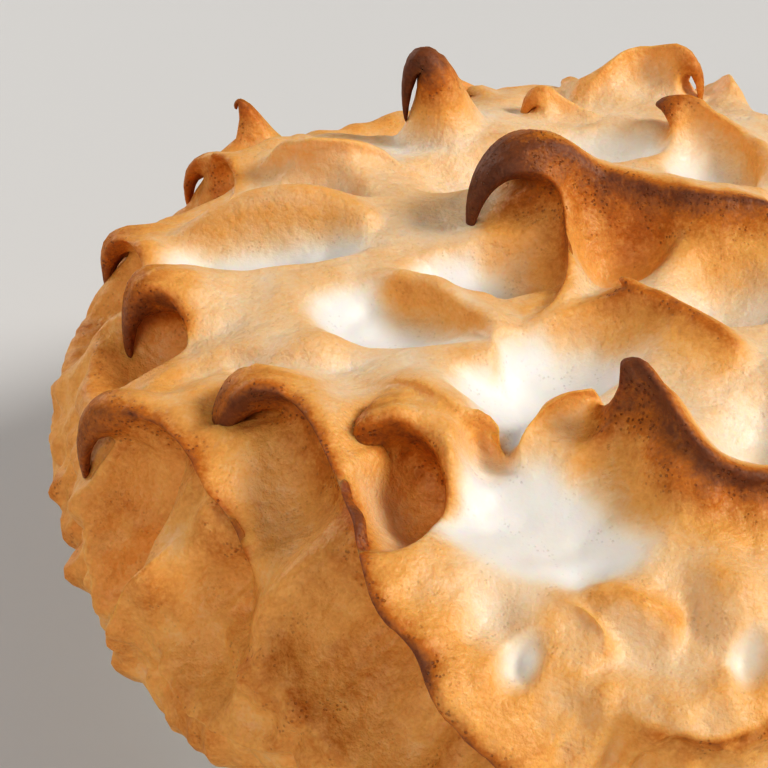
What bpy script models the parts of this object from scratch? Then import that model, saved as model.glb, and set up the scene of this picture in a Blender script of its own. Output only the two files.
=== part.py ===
"""A lemon meringue pie in its own dish: a plain round pie dish, a pastry crust with a fluted
rim, and a tall meringue whose skin was scooped and pulled up into crests and curling hooks.

Sizes are in millimetres and are turned into metres when a mesh is made. +Z is up, the pie
stands on z = 0 and its centre is on the Z axis. The meringue's features are placed on a map
of its skin: x to the right and y to the back, both measured over the skin from the crown.
"""

import bpy
import numpy as np

MM = 0.001
GAP = 0.3  # the clearance between pieces that touch

# The dish, a 22 cm pie dish: its flat base, its sloping side and its flat rim.
DISH_BASE_RADIUS = 84.0
DISH_BASE_THICK = 4.5
DISH_WALL = 4.2
DISH_SIDE_TOP_RADIUS = 104.0
DISH_RIM_RADIUS = 112.0
DISH_RIM_HEIGHT = 38.0
DISH_RIM_THICK = 4.0
DISH_STEPS = 72

# The crust: it fills the dish, and its rim lies on the dish's rim, pinched into flutes.
FLUTES = 30
STEPS_PER_FLUTE = 4
FLUTE_DEPTH = 1.7
CRUST_RIM_RADIUS = 109.0
CRUST_RIM_TOP = 46.0
CRUST_INNER_RADIUS = 100.0
CRUST_TOP = 44.0

# The plain mound under the meringue's crests: an outline that is boxier than an ellipse.
CROWN_HEIGHT = 110.0
WIDE_HEIGHT = 57.0
WIDE_RADIUS = 127.0
SEAT_HEIGHT = 49.0
SEAT_RADIUS = 110.0
SEAT_CLEARANCE = 1.0
BOXINESS = 3.5
UNDERCUT_BOXINESS = 2.2

# How finely the skin is worked out, and how far it is thinned for a light solid.
SKIN_LINES = 240
FUSE_VOXEL = 0.0016
KEPT_SHARE = 0.03
UNDERSIDE_SHARE = 0.97  # the underside is drawn in by this much before the seat is cut
UNDERSIDE_DROP = 6.0  # and starts this far below the crust's top
SEAT_CUT_DEPTH = 12.0

# Each scoop is a hollow that the back of a spoon left:
# x, y, turn of its long axis in degrees, half length, half width, depth.
SCOOPS = {
    "left pool": (-83, 4, 3, 27, 13, 6),
    "wave pool": (-30, -6, 10, 18, 10, 7),
    "crown pool": (0, -2, 10, 13, 9, 6),
    "crown hollow": (-12, -45, 35, 24, 14, 7),
    "left bowl": (-46, -27, -15, 23, 13, 6),
    "near pool": (-11, -91, -15, 25, 16, 5),
    "under left shoulder": (-107, -31, 80, 14, 11, 11),
    "under near curl": (-39, -88, 75, 16, 10, 10),
    "under long crest": (-76, -100, 58, 29, 13, 8),
    "under left lip": (-108, -82, 40, 20, 12, 11),
    "left edge": (-122, -4, 80, 14, 12, 8),
    "left edge, farther": (-112, 40, 60, 14, 10, 7),
    "behind left roll": (-76, 26, 0, 17, 7, 5),
    "behind great wave": (-30, 44, 20, 26, 12, 4),
    "beside horn": (-62, 80, 30, 18, 12, 4),
    "far pool": (-4, 62, 0, 18, 10, 5),
    "far right": (24, 50, -20, 14, 10, 5),
    "right of crown": (26, -14, 10, 14, 11, 4),
    "near right": (38, -62, 20, 18, 12, 5),
    "left slope": (-84, -48, 20, 12, 8, 3),
    "near slope": (-25, -112, 20, 20, 12, 2),
    "near slope, right": (12, -112, 10, 20, 12, 3),
    "neck": (-21, -70, 75, 18, 8, 5),
    "under long crest, lower": (-44, -126, -45, 28, 13, 8),
    "under back lip": (-8, 145, 0, 22, 11, 6),
    "under back fold": (-70, 130, 35, 16, 9, 5),
    "under back rise": (36, 136, 70, 16, 10, 5),
    "low dimple": (-12, -120, 60, 5, 4, 2),
    "right dimple": (31, -115, 70, 6, 4, 2),
    "gloss": (-1, -100, 10, 8, 5, 3),
    "under back left lip": (-84, 136, 35, 18, 10, 5),
    "under back left wave": (-126, 100, 50, 18, 11, 6),
    "under front right lip": (60, -152, -25, 20, 10, 5),
    "right flank": (118, -30, 80, 18, 12, 6),
    "left flank": (-133, -58, 80, 26, 14, 2),
}
SCOOP_LIP = 4.0  # how high a scoop's edge stands above the plain mound
LIP_ROUNDING = 1.0

# Each crest is a wave of meringue between scoops: its path as (x, y, height), walked so that
# the side it leans over is on the left, then the width of that front and of its back, its
# overhang as a share of its height, how round its lip is, and how full its front is.
CRESTS = {
    "left shoulder": (
        [(-93, -34, 1), (-94, -32, 6), (-98, -26, 10), (-103, -20, 12)],
        14, 22, 0.9, 2, 0,
    ),
    "left arch edge": ([(-112, -3, 1), (-112, 2, 6), (-114, 7, 10), (-118, 16, 11)], 12, 18, 0.9, 2, 0),
    "left loop edge": ([(-95, 33, 5), (-96, 39, 9), (-98, 44, 13), (-101, 47, 15)], 12, 17, 0.9, 2, 0),
    "left roll": (
        [(-59, 11, 7), (-68, 14, 9), (-76, 14, 10), (-90, 14, 9), (-105, 13, 5)],
        8, 14, 0.3, 2, 0.8,
    ),
    "far leaf": (
        [(-57, 42, 9), (-65, 36, 15), (-75, 34, 16), (-84, 38, 14), (-90, 44, 8)],
        7, 18, 0.6, 2, 0,
    ),
    "great wave": (
        [(35, 16, 14), (19, 14, 16), (8, 17, 16), (-4, 20, 17), (-12, 20, 18), (-16, 21, 18)],
        27, 26, 0.25, 2, 0.4,
    ),
    "wave wall": (
        [(-19, -27, 3), (-14, -25, 6), (-11, -17, 9), (-11, -9, 12), (-12, 2, 15), (-14, 10, 17)],
        17, 10, 0.4, 1.5, 0,
    ),
    "crown wave": (
        [
            (34, -42, 2), (30, -41, 6), (26, -39, 9), (20, -33, 11), (12, -27, 12), (4, -24, 12),
            (-2, -24, 8), (-9, -26, 6), (-16, -30, 4), (-22, -35, 2),
        ],
        18, 13, 0.3, 2.6, 0.35,
    ),
    "bowl rim": (
        [
            (-24, -43, 1), (-24, -39, 4), (-27, -32, 6), (-34, -26, 6), (-41, -20, 6), (-48, -17, 5),
            (-53, -16, 2),
        ],
        9, 9, 0.2, 1.6, 0,
    ),
    "tongue": (
        [(-22, -71, 5), (-28, -70, 10), (-35, -65, 12), (-42, -61, 11), (-48, -57, 7), (-54, -50, 3)],
        10, 15, 0.6, 2, 0,
    ),
    "near curl": (
        [(-30, -98, 0), (-30, -91, 2), (-32, -84, 6), (-35, -78, 9), (-40, -75, 12), (-43, -73, 12)],
        13, 14, 0.7, 1.8, 0,
    ),
    "long crest": (
        [
            (-32, -119, 14), (-40, -113, 14), (-45, -104, 14), (-49, -94, 13), (-53, -86, 13),
            (-59, -75, 14), (-65, -68, 15), (-70, -63, 15),
        ],
        18, 24, 0.75, 2.4, 0,
    ),
    "left lip": (
        [
            (-74, -95, 1), (-76, -89, 4), (-80, -82, 8), (-85, -74, 11), (-90, -68, 12),
            (-94, -63, 12), (-98, -61, 12),
        ],
        15, 20, 0.8, 2.4, 0,
    ),
    "near peak": (
        [
            (37, -80, 9), (29, -82, 11), (22, -81, 13), (17, -78, 16), (13, -74, 19), (10, -70, 21),
            (7, -68, 21),
        ],
        20, 15, 0.4, 2.2, 0.2,
    ),
    "near leaf": ([(-2, -61, 11), (-7, -63, 11), (-12, -67, 9), (-16, -73, 4)], 11, 7, 0.35, 1.4, 0.2),
    "far wave": ([(11, 97, 20), (3, 98, 21), (-4, 93, 17), (-11, 92, 11)], 10, 12, 0.4, 2.2, 0.3),
    "far petal": ([(7, 105, 7), (-1, 98, 10), (-9, 90, 11), (-14, 101, 9)], 6, 8, 0.1, 1.6, 0.5),
    "far loop edge": ([(-9, 77, 1), (-11, 80, 6), (-16, 80, 10), (-20, 81, 11)], 8, 11, 0.5, 2.4, 0),
    "far fold": (
        [(34, 42, 2), (33, 51, 6), (29, 60, 10), (22, 65, 13), (17, 66, 14)],
        12, 14, 0.5, 2.4, 0,
    ),
    "right rise": (
        [(35, 98, 4), (31, 97, 10), (26, 99, 15), (23, 108, 12), (20, 106, 7)],
        8, 10, 0.3, 2.4, 0.2,
    ),
    "low lip": (
        [
            (-125, -101, 2), (-119, -101, 8), (-111, -99, 11), (-102, -96, 12), (-94, -93, 10),
            (-88, -90, 3),
        ],
        7, 9, 0.5, 1.6, 0.2,
    ),
    "low fold": (
        [(-62, -139, 1), (-70, -136, 6), (-80, -131, 9), (-91, -123, 9), (-100, -116, 3)],
        9, 11, 0.5, 2, 0.2,
    ),
    "near ridge": ([(7, -139, 3), (1, -130, 6), (-3, -126, 5), (-6, -122, 2)], 12, 14, 0, 2.4, 0.6),
    "far rise": ([(-81, 56, 9), (-87, 52, 11), (-94, 47, 11), (-103, 58, 9)], 14, 16, 0, 2.4, 1),
    "knuckle": ([(-55, -42, 3), (-61, -42, 7), (-67, -41, 7), (-73, -40, 4)], 10, 9, 0, 2.4, 1),
    "shoulder swell": ([(-82, -48, 4), (-87, -52, 7), (-93, -54, 6)], 12, 10, 0, 2.4, 1),
    "small curl": ([(-33, 103, 3), (-40, 102, 9), (-45, 99, 14), (-46, 100, 16)], 8, 10, 0.3, 2, 0),
    "near cheek": ([(6, -74, 11), (8, -81, 12), (13, -87, 11), (21, -90, 9)], 9, 10, 0, 2, 1),
    "near mound": ([(-1, -110, 3), (4, -109, 6), (10, -109, 7), (16, -111, 4)], 11, 9, 0.2, 2, 0.6),
    "right mound": ([(20, -88, 4), (24, -96, 7), (27, -105, 7), (28, -113, 4)], 10, 11, 0, 2.4, 1),
    "low curl": ([(3, -120, 2), (3, -116, 5), (-1, -112, 6), (-6, -109, 3)], 7, 6, 0.5, 1.6, 0),
    "nub": ([(-43, 64, 6), (-40, 66, 10), (-37, 66, 6)], 5, 5, 0, 1.4, 1),
    "back lip": (
        [(-34, 120, 1), (-24, 125, 6), (-10, 129, 9), (4, 130, 10), (14, 127, 10)],
        15, 18, 0.7, 2.2, 0,
    ),
    "back fold": (
        [(-84, 104, 2), (-76, 110, 6), (-64, 117, 8), (-52, 121, 7), (-44, 127, 2)],
        10, 14, 0.5, 2, 0.2,
    ),
    "back rise": ([(58, 152, 2), (54, 140, 7), (50, 128, 9), (45, 119, 9)], 12, 16, 0.6, 2.2, 0),
    "low ridge": (
        [(38, -124, 8), (30, -128, 10), (22, -130, 10), (11, -129, 9), (2, -126, 4)],
        16, 15, 0.3, 2.4, 0.3,
    ),
    "long crest, lower": (
        [
            (10, -148, 7), (-2, -144, 11), (-12, -140, 13), (-25, -131, 14), (-34, -121, 14),
            (-41, -114, 14), (-45, -104, 14), (-48, -97, 11),
        ],
        17, 22, 0.75, 2.6, 0,
    ),
    "back left lip": (
        [(-96, 108, 1), (-90, 114, 6), (-79, 123, 9), (-66, 131, 7), (-56, 136, 2)],
        11, 16, 0.6, 2, 0.2,
    ),
    "back left wave": (
        [(-128, 66, 1), (-124, 76, 6), (-117, 88, 8), (-107, 97, 7), (-98, 101, 2)],
        12, 18, 0.6, 2, 0.1,
    ),
    "front low lip": (
        [(24, -150, 1), (12, -157, 7), (-4, -159, 8), (-20, -154, 7), (-34, -147, 2)],
        11, 16, 0.6, 2, 0.2,
    ),
    "front right lip": (
        [(94, -116, 1), (84, -126, 7), (70, -134, 8), (56, -139, 7), (44, -143, 2)],
        12, 17, 0.6, 2, 0.2,
    ),
    "right low lip": (
        [(148, 32, 1), (154, 16, 7), (156, -2, 8), (151, -20, 7), (144, -34, 2)],
        12, 17, 0.6, 2, 0.2,
    ),
    "right wave": ([(118, -84, 2), (127, -70, 8), (132, -54, 9), (132, -40, 4)], 14, 18, 0.4, 2.4, 0.4),
}

# Each hook is a tip pulled up with the spoon, which then fell over:
# x, y, the way it leans in degrees, the radius of its foot, its rise, its reach, how far it
# drops from its top, how stout it is, and how broad it is across its lean.
HOOKS = {
    "left shoulder": (-103, -20, 207, 10, 1, 9, 24, 0.3, 1.3),
    "left arch": (-119, 17, 195, 9, 1, 7, 21, 0.5, 1.2),
    "left loop": (-103, 57, 190, 9, 2, 8, 15, 0.5, 1.2),
    "spike": (-94, 68, 195, 7, 14, 4, 0, 0.15, 1),
    "horn": (-46, 66, 190, 12, 19, 9, 17, 0.5, 1),
    "great hook": (-17, 20, 206, 14, 6, 19, 23, 0.5, 1.8),
    "long crest": (-73, -63, 206, 11, 0, 12, 27, 0.35, 1.5),
    "near curl": (-45, -73, 200, 9, 0, 8, 24, 0.25, 1.3),
    "left lip": (-100, -62, 188, 11, 3, 13, 24, 0.4, 1.3),
    "near peak": (6, -67, 130, 6, 2, 4, 0, 0.6, 1.2),
    "far wave": (13, 98, 335, 7, 3, 8, 14, 0.5, 1.3),
    "far loop": (-21, 80, 200, 6, 2, 6, 10, 0.5, 1.3),
    "far fold": (16, 67, 152, 7, 0, 8, 2, 0.8, 1.2),
    "tongue": (-23, -69, 40, 5, 0, 2, 1, 0.6, 1.2),
    "crown wave": (4, -21, 189, 4, 1, 2, 0, 0.5, 1.2),
    "far petal": (-14, 104, 123, 4, 1, 4, 1, 0.6, 1.2),
    "small curl": (-38, 98, 190, 5, 1, 5, 6, 0.5, 1.2),
    "back lip": (16, 127, 60, 10, 1, 9, 18, 0.5, 1.3),
    "back rise": (44, 117, 120, 8, 1, 7, 10, 0.5, 1.2),
}
STRAND = 2.0  # the least radius of a hook's tip: a thinner one would break when it is fused

# The side away from the great wave repeats the left flank's hollows, crests and hooks,
# turned round the crown by this angle.
COPY_TURN = 165.0
COPIED_SCOOPS = (
    "left pool", "left bowl", "under left shoulder", "under near curl", "under long crest",
    "under left lip", "left edge", "left edge, farther", "behind left roll", "near slope",
)
COPIED_CRESTS = (
    "left shoulder", "left arch edge", "left loop edge", "left roll", "long crest", "left lip",
    "far leaf", "far rise", "low lip", "low fold", "shoulder swell",
)
COPIED_HOOKS = ("left shoulder", "left arch", "left loop", "spike", "long crest", "left lip")


def smooth_step(value):
    """0 below 0, 1 above 1, and an S-curve between them."""
    clipped = np.clip(value, 0, 1)
    return clipped * clipped * (3 - 2 * clipped)


def turned(x, y, degrees):
    """A spot of the map turned about the crown."""
    angle = np.radians(degrees)
    return x * np.cos(angle) - y * np.sin(angle), x * np.sin(angle) + y * np.cos(angle)


def mound_profile(count=600):
    """The plain mound's outline from the crown down to its seat, as distance over the skin,
    radius, height and the two parts of the outward normal. Above the widest level it is
    |r/R|^n + |z/H|^n = 1, and below it a rounder arc of the same kind turns under."""
    angle = np.linspace(0, np.pi / 2, 900)
    radius = WIDE_RADIUS * np.sin(angle) ** (2 / BOXINESS)
    height = WIDE_HEIGHT + (CROWN_HEIGHT - WIDE_HEIGHT) * np.cos(angle) ** (2 / BOXINESS)
    under = angle[::-3][1:]
    power = 2 / UNDERCUT_BOXINESS
    radius = np.append(radius, SEAT_RADIUS + (WIDE_RADIUS - SEAT_RADIUS) * np.sin(under) ** power)
    height = np.append(height, WIDE_HEIGHT - (WIDE_HEIGHT - SEAT_HEIGHT) * np.cos(under) ** power)
    walked = np.append(0, np.cumsum(np.hypot(np.diff(radius), np.diff(height))))
    reach = np.linspace(0, walked[-1], count)
    radius = np.interp(reach, walked, radius)
    height = np.interp(reach, walked, height)
    out = -np.gradient(height, reach)
    up = np.gradient(radius, reach)
    size = np.hypot(out, up)
    return reach, radius, height, out / size, up / size


PROFILE = mound_profile()
SKIN_REACH = PROFILE[0][-1]


def on_mound(spots):
    """Points and outward normals of the plain mound at these spots of the map."""
    reach = np.hypot(spots[:, 0], spots[:, 1])
    way = spots / np.maximum(reach, 1e-9)[:, None]
    radius, height, out, up = (np.interp(reach, PROFILE[0], column) for column in PROFILE[1:])
    points = np.column_stack([way * radius[:, None], height])
    normals = np.column_stack([way * out[:, None], up])
    return points, normals / np.linalg.norm(normals, axis=1, keepdims=True)


def frame_at(x, y, degrees):
    """A spot's point, its normal, and the direction on the skin that this map angle gives."""
    angle = np.radians(degrees)
    near = np.array([[x, y], [x + 0.5 * np.cos(angle), y + 0.5 * np.sin(angle)]], float)
    points, normals = on_mound(near)
    ahead = points[1] - points[0]
    ahead -= normals[0] * (ahead @ normals[0])
    return points[0], normals[0], ahead / np.linalg.norm(ahead)


def ripple(points, length, seed, waves=24):
    """A soft random unevenness: the sum of plane waves of about this length."""
    chance = np.random.default_rng(seed)
    ways = chance.normal(size=(waves, 3))
    ways /= np.linalg.norm(ways, axis=1, keepdims=True)
    pace = chance.uniform(0.6, 1.5, waves) * 2 * np.pi / length
    start = chance.uniform(0, 2 * np.pi, waves)
    return np.cos(points @ (ways * pace[:, None]).T + start).sum(axis=1) / np.sqrt(waves / 2)


def scooped(points, scoops):
    """Height over the mound: the soft minimum of bowls -d + (d + lip) * q, where q is the
    squared distance over the size. The lowest bowl wins, so two bowls meet in a lip."""
    bowls = [np.full(len(points), SCOOP_LIP)]
    for x, y, turn, half_length, half_width, depth in scoops:
        centre, _, along = frame_at(x, y, turn)
        offset = points - centre
        run = offset @ along
        rest = np.maximum((offset**2).sum(axis=1) - run**2, 0)
        q = (run / half_length) ** 2 + rest / half_width**2
        bowls.append(-depth + (depth + SCOOP_LIP) * q)
    bowls = np.array(bowls)
    lowest = bowls.min(axis=0)
    return lowest - LIP_ROUNDING * np.log(np.exp((lowest - bowls) / LIP_ROUNDING).sum(axis=0))


def smooth_path(stops, step=1.0):
    """An evenly stepped Catmull-Rom curve through these stops."""
    stops = np.array(stops, float)
    ends = np.vstack([2 * stops[0] - stops[1], stops, 2 * stops[-1] - stops[-2]])
    t = np.linspace(0, 1, 24, endpoint=False)[:, None]
    pieces = [
        0.5 * (2 * b + (c - a) * t + (2 * a - 5 * b + 4 * c - d) * t**2 + (3 * b - a - 3 * c + d) * t**3)
        for a, b, c, d in zip(ends, ends[1:], ends[2:], ends[3:])
    ]
    path = np.vstack([*pieces, stops[-1:]])
    walked = np.append(0, np.cumsum(np.linalg.norm(np.diff(path[:, :2], axis=0), axis=1)))
    marks = np.linspace(0, walked[-1], max(4, int(walked[-1] / step)))
    return np.column_stack([np.interp(marks, walked, column) for column in path.T])


def bezier(ends, t):
    """A cubic curve a(1-t)^3 + 3b t(1-t)^2 + 3c t^2(1-t) + d t^3 through four (x, y) ends."""
    share = ((1 - t) ** 3, 3 * t * (1 - t) ** 2, 3 * t**2 * (1 - t), t**3)
    return [sum(part * end[axis] for part, end in zip(share, ends)) for axis in (0, 1)]


def crest_section(across, tall, overhang, front, back, roll):
    """Where the section of a crest carries the skin that lay this far across its path. The
    lip stays over the path. The back is a curve that rises to it, and the front is one that
    turns in under it and then runs out. A roll of 1 makes the front as full as the back."""
    drop = 0.15 * tall * (1 - roll)
    lip = (0, tall - drop)
    behind = [(-back, 0), (-0.55 * back, 0), (-0.45 * back, 1.02 * tall), lip]
    hollow = (-1.6 * overhang, 0.42 * tall)
    full = (0.45 * front, tall - drop)
    turn = [(1 - roll) * hollow[axis] + roll * full[axis] for axis in (0, 1)]
    before = [lip, turn, (0.55 * roll * front, 0), (front, 0)]
    back_way = bezier(behind, np.clip(1 + across / back, 0, 1))
    front_way = bezier(before, np.clip(across / front, 0, 1))
    forth, height = (np.where(across < 0, *pair) for pair in zip(back_way, front_way))
    outside = (across < -back) | (across > front)
    return np.where(outside, across, forth), np.where(outside, 0, height)


def ground(points, scoops):
    """Height of the scooped and uneven skin over the plain mound."""
    height = scooped(points, scoops)
    lumps = 0.25 + 0.75 * smooth_step((104 - points[:, 2]) / 20)
    steep = smooth_step((92 - points[:, 2]) / 25)
    swells = (1 - 0.2 * steep) * ripple(points, 38, 3) + 0.8 * steep * ripple(points, 26, 9)
    fine = 0.7 * ripple(points, 13, 5) + 0.45 * ripple(points, 6, 7)
    return height + swells + (lumps + 0.55 * steep) * fine


def crest_pull(points, crest, scoops):
    """The shift of each point by a crest. The section is averaged over a few places across
    the lip, which rounds the lip."""
    stops, front, back, lean, rounding, roll = crest
    path = smooth_path(stops)
    line, normals = on_mound(path[:, :2])
    tall = np.maximum(path[:, 2] - ground(line, scoops), 0)
    step = np.gradient(line, axis=0)
    pace = np.linalg.norm(step, axis=1)
    ahead = step / pace[:, None]
    aside = np.cross(normals, ahead)
    aside /= np.linalg.norm(aside, axis=1, keepdims=True)

    reach = max(front, back) + 2 * rounding
    near = ((points > line.min(axis=0) - reach) & (points < line.max(axis=0) + reach)).all(axis=1)
    near = np.flatnonzero(near)
    offsets = points[near, None, :] - line[None]
    nearest = (offsets**2).sum(axis=-1).argmin(axis=1)
    offset = offsets[np.arange(len(near)), nearest]
    run = (offset * ahead[nearest]).sum(axis=1)
    past_end = np.where(nearest == 0, -run, np.where(nearest == len(line) - 1, run, 0)).clip(0)
    side = np.where((offset * aside[nearest]).sum(axis=1) > 0, 1.0, -1.0)
    across = side * np.sqrt(np.maximum((offset**2).sum(axis=1) - run**2, 0))
    spot = np.clip(nearest + np.where(past_end > 0, 0, run / pace[nearest]), 0, len(line) - 1)
    height = np.interp(spot, np.arange(len(line)), tall)
    ending = 1 - smooth_step(past_end / (0.6 * min(front, back)))
    height = height * ending
    forth = np.zeros(len(near))
    rise = np.zeros(len(near))
    for shift in (-1.0, -0.5, 0.0, 0.5, 1.0):
        place = across + shift * rounding
        ahead_by, up_by = crest_section(place, height, lean * height, front, back, roll)
        forth += ending * (ahead_by - place) / 5
        rise += up_by / 5

    pull = np.zeros_like(points)
    pull[near] = rise[:, None] * normals[nearest] + forth[:, None] * aside[nearest]
    return pull


def hook_pull(points, hook):
    """The shift of each point by a hook, and how far up the hook it lies, from 0 to 1."""
    x, y, lean_turn, foot, rise, reach, drop, stout, broad = hook
    centre, normal, lean = frame_at(x, y, lean_turn)
    wide = np.cross(normal, lean)
    up = 0.3 * normal + np.array([0, 0, 0.7])
    up /= np.linalg.norm(up)
    level = lean - up * (lean @ up)
    level /= np.linalg.norm(level)
    offset = points - centre
    run = offset @ lean
    side = offset @ wide
    ring = np.hypot(run, side / np.sqrt(broad))
    near = np.flatnonzero((ring < foot) & (np.linalg.norm(offset, axis=1) < 1.6 * foot))
    run, side, ring = run[near], side[near], ring[near]

    inward = 1 - ring / foot
    t = smooth_step(inward)
    legs = np.array([(0, 0), (-0.05 * reach, 1.3 * rise), (1.1 * reach, 1.4 * rise), (reach, rise - drop)])
    share = np.array([(1 - t) ** 3, 3 * t * (1 - t) ** 2, 3 * t**2 * (1 - t), t**3])
    forth, lift = legs.T @ share
    slope = np.array([(1 - t) ** 2, 2 * t * (1 - t), t**2])
    heading = np.diff(legs, axis=0).T @ slope
    heading /= np.linalg.norm(heading, axis=0) + 1e-9

    bent = np.clip(4 * t, 0, 1)[:, None]
    tilted = heading[1][:, None] * level - heading[0][:, None] * up
    across = (1 - bent) * lean + bent * tilted
    across /= np.linalg.norm(across, axis=1, keepdims=True)
    girth = (foot - STRAND) * (1 - inward) ** (2 - stout) + STRAND * (1 - inward) ** 0.3
    shrink = girth / np.maximum(ring, 1e-9)
    drawn = (
        forth[:, None] * level
        + lift[:, None] * up
        + (run * shrink * (1 - 0.35 * bent[:, 0]))[:, None] * across
        + (side * shrink)[:, None] * wide
    )
    pull = np.zeros_like(points)
    pull[near] = drawn - run[:, None] * lean - side[:, None] * wide
    along = np.zeros(len(points))
    along[near] = inward
    return pull, along


def round_map(lines):
    """The spots of a square grid carried onto the round map, square rings becoming circles."""
    ticks = np.linspace(-1, 1, lines)
    x, y = np.meshgrid(ticks, ticks)
    ring = np.maximum(np.abs(x), np.abs(y))
    wide = np.abs(x) >= np.abs(y)
    long_side = np.where(wide, x, y)
    short_side = np.where(wide, y, x)
    slant = np.pi / 4 * short_side / np.where(long_side == 0, 1, long_side)
    angle = np.where(wide, slant, np.pi / 2 - slant) + np.where(long_side < 0, np.pi, 0)
    return np.column_stack([(ring * np.cos(angle)).ravel(), (ring * np.sin(angle)).ravel()]) * SKIN_REACH


def gathered(spots, crests, hooks):
    """The same spots drawn towards the nearest crest's path and towards each hook's middle."""
    for stops, *_ in crests:
        path = smooth_path(stops, 2.0)[:, :2]
        near = ((spots > path.min(axis=0) - 9) & (spots < path.max(axis=0) + 9)).all(axis=1)
        near = np.flatnonzero(near)
        offsets = spots[near, None, :] - path[None]
        nearest = (offsets**2).sum(axis=-1).argmin(axis=1)
        offset = offsets[np.arange(len(near)), nearest]
        closeness = np.clip(1 - np.linalg.norm(offset, axis=1) / 9, 0, 1)
        spots[near] -= offset * (0.35 * closeness**1.5)[:, None]
    for x, y, _, foot, *_ in hooks:
        offset = spots - (x, y)
        closeness = np.clip(1 - np.linalg.norm(offset, axis=1) / (1.3 * foot), 0, 1)
        spots = spots - offset * (0.45 * closeness**1.5)[:, None]
    return spots


def relaxed(grid, rounds):
    """Each inner point moved half way to the middle of its four neighbours, this many times."""
    for _ in range(rounds):
        middle = (grid[:-2, 1:-1] + grid[2:, 1:-1] + grid[1:-1, :-2] + grid[1:-1, 2:]) / 4
        grid = grid.copy()
        grid[1:-1, 1:-1] += 0.5 * (middle - grid[1:-1, 1:-1])
    return grid


def all_features():
    """The scoops, crests and hooks, with the turned copies on the far flank."""
    scoops = list(SCOOPS.values())
    for name in COPIED_SCOOPS:
        x, y, turn, *sizes = SCOOPS[name]
        scoops.append((*turned(x, y, COPY_TURN), turn + COPY_TURN, *sizes))
    crests = list(CRESTS.values())
    for name in COPIED_CRESTS:
        stops, *sizes = CRESTS[name]
        crests.append(([(*turned(x, y, COPY_TURN), height) for x, y, height in stops], *sizes))
    hooks = list(HOOKS.values())
    for name in COPIED_HOOKS:
        x, y, lean, *sizes = HOOKS[name]
        hooks.append((*turned(x, y, COPY_TURN), lean + COPY_TURN, *sizes))
    return scoops, crests, hooks


def meringue_skin(lines):
    """The meringue's skin as a square grid of points: the mound, scooped, raised into crests
    and drawn out into hooks. The skin inside a hook moves more and more like the hook's
    middle. Its edge stays a plain circle, where it meets the crust."""
    scoops, crests, hooks = all_features()
    spots = gathered(round_map(lines), crests, hooks)
    middles = np.array([hook[:2] for hook in hooks])
    points, normals = on_mound(np.vstack([spots, middles]))
    reach = np.linalg.norm(np.vstack([spots, middles]), axis=1)
    inside = smooth_step((SKIN_REACH - reach) / 18)
    pull = np.zeros_like(points)
    share = np.full(len(points), 1e-9)
    for crest in crests:
        shift = crest_pull(points, crest, scoops)
        strength = (shift**2).sum(axis=1)
        pull += strength[:, None] * shift
        share += strength
    height = ground(points, scoops)
    pull = inside[:, None] * (height[:, None] * normals + pull / share[:, None])
    middle_pulls = pull[-len(hooks):].copy()
    for hook, middle_pull in zip(hooks, middle_pulls):
        shift, along = hook_pull(points, hook)
        rigid = smooth_step(1.4 * along)[:, None]
        pull += rigid * (middle_pull - pull) + shift
    return relaxed((points + pull)[: lines**2].reshape(lines, lines, 3), 1).reshape(-1, 3)


def principled(name, colour, roughness):
    """A plain Principled material."""
    material = bpy.data.materials.new(name)
    material.use_nodes = True
    shader = material.node_tree.nodes["Principled BSDF"]
    shader.inputs["Base Color"].default_value = (*colour, 1)
    shader.inputs["Roughness"].default_value = roughness
    shader.inputs["Metallic"].default_value = 0
    return material


def add_piece(name, points, faces, material, collection):
    """An object whose mesh has these points, in millimetres, and these faces."""
    mesh = bpy.data.meshes.new(name)
    mesh.from_pydata((np.asarray(points) * MM).tolist(), [], faces)
    mesh.polygons.foreach_set("use_smooth", [True] * len(mesh.polygons))
    if material:
        mesh.materials.append(material)
    piece = bpy.data.objects.new(name, mesh)
    collection.objects.link(piece)
    return piece


def add_turned(name, profile, steps, material, collection):
    """A turned solid: a profile of (radius, height), from the axis at the bottom, up its
    outer side and back to the axis, spun by a Screw modifier."""
    points = [(radius, 0, height) for radius, height in profile[::-1]]
    piece = add_piece(name, points, [], material, collection)
    piece.data.edges.add(len(points) - 1)
    ends = [end for start in range(len(points) - 1) for end in (start, start + 1)]
    piece.data.edges.foreach_set("vertices", ends)
    screw = piece.modifiers.new("turn", "SCREW")
    screw.steps = screw.render_steps = steps
    screw.use_merge_vertices = True
    screw.merge_threshold = 0.00005
    screw.use_smooth_shade = True
    return piece


def make_dish(collection):
    """The pie dish: a flat base, a sloping side and a flat rim that the crust lies on."""
    rim_under = DISH_RIM_HEIGHT - DISH_RIM_THICK
    profile = [
        (0, 0),
        (DISH_BASE_RADIUS - 3, 0),
        (DISH_BASE_RADIUS, 1.2),
        (DISH_BASE_RADIUS + 1.6, 4),
        (DISH_SIDE_TOP_RADIUS - 2, rim_under - 3),
        (DISH_SIDE_TOP_RADIUS, rim_under - 0.6),
        (DISH_RIM_RADIUS - 1.5, rim_under),
        (DISH_RIM_RADIUS, rim_under + 1.5),
        (DISH_RIM_RADIUS, DISH_RIM_HEIGHT - 1.2),
        (DISH_RIM_RADIUS - 1.2, DISH_RIM_HEIGHT),
        (DISH_SIDE_TOP_RADIUS - 2, DISH_RIM_HEIGHT),
        (DISH_SIDE_TOP_RADIUS - DISH_WALL - 1, rim_under),
        (DISH_BASE_RADIUS - 3, DISH_BASE_THICK),
        (0, DISH_BASE_THICK),
    ]
    glaze = principled("dish glaze", (0.83, 0.80, 0.72), 0.2)
    return add_turned("dish", profile, DISH_STEPS, glaze, collection)


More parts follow.
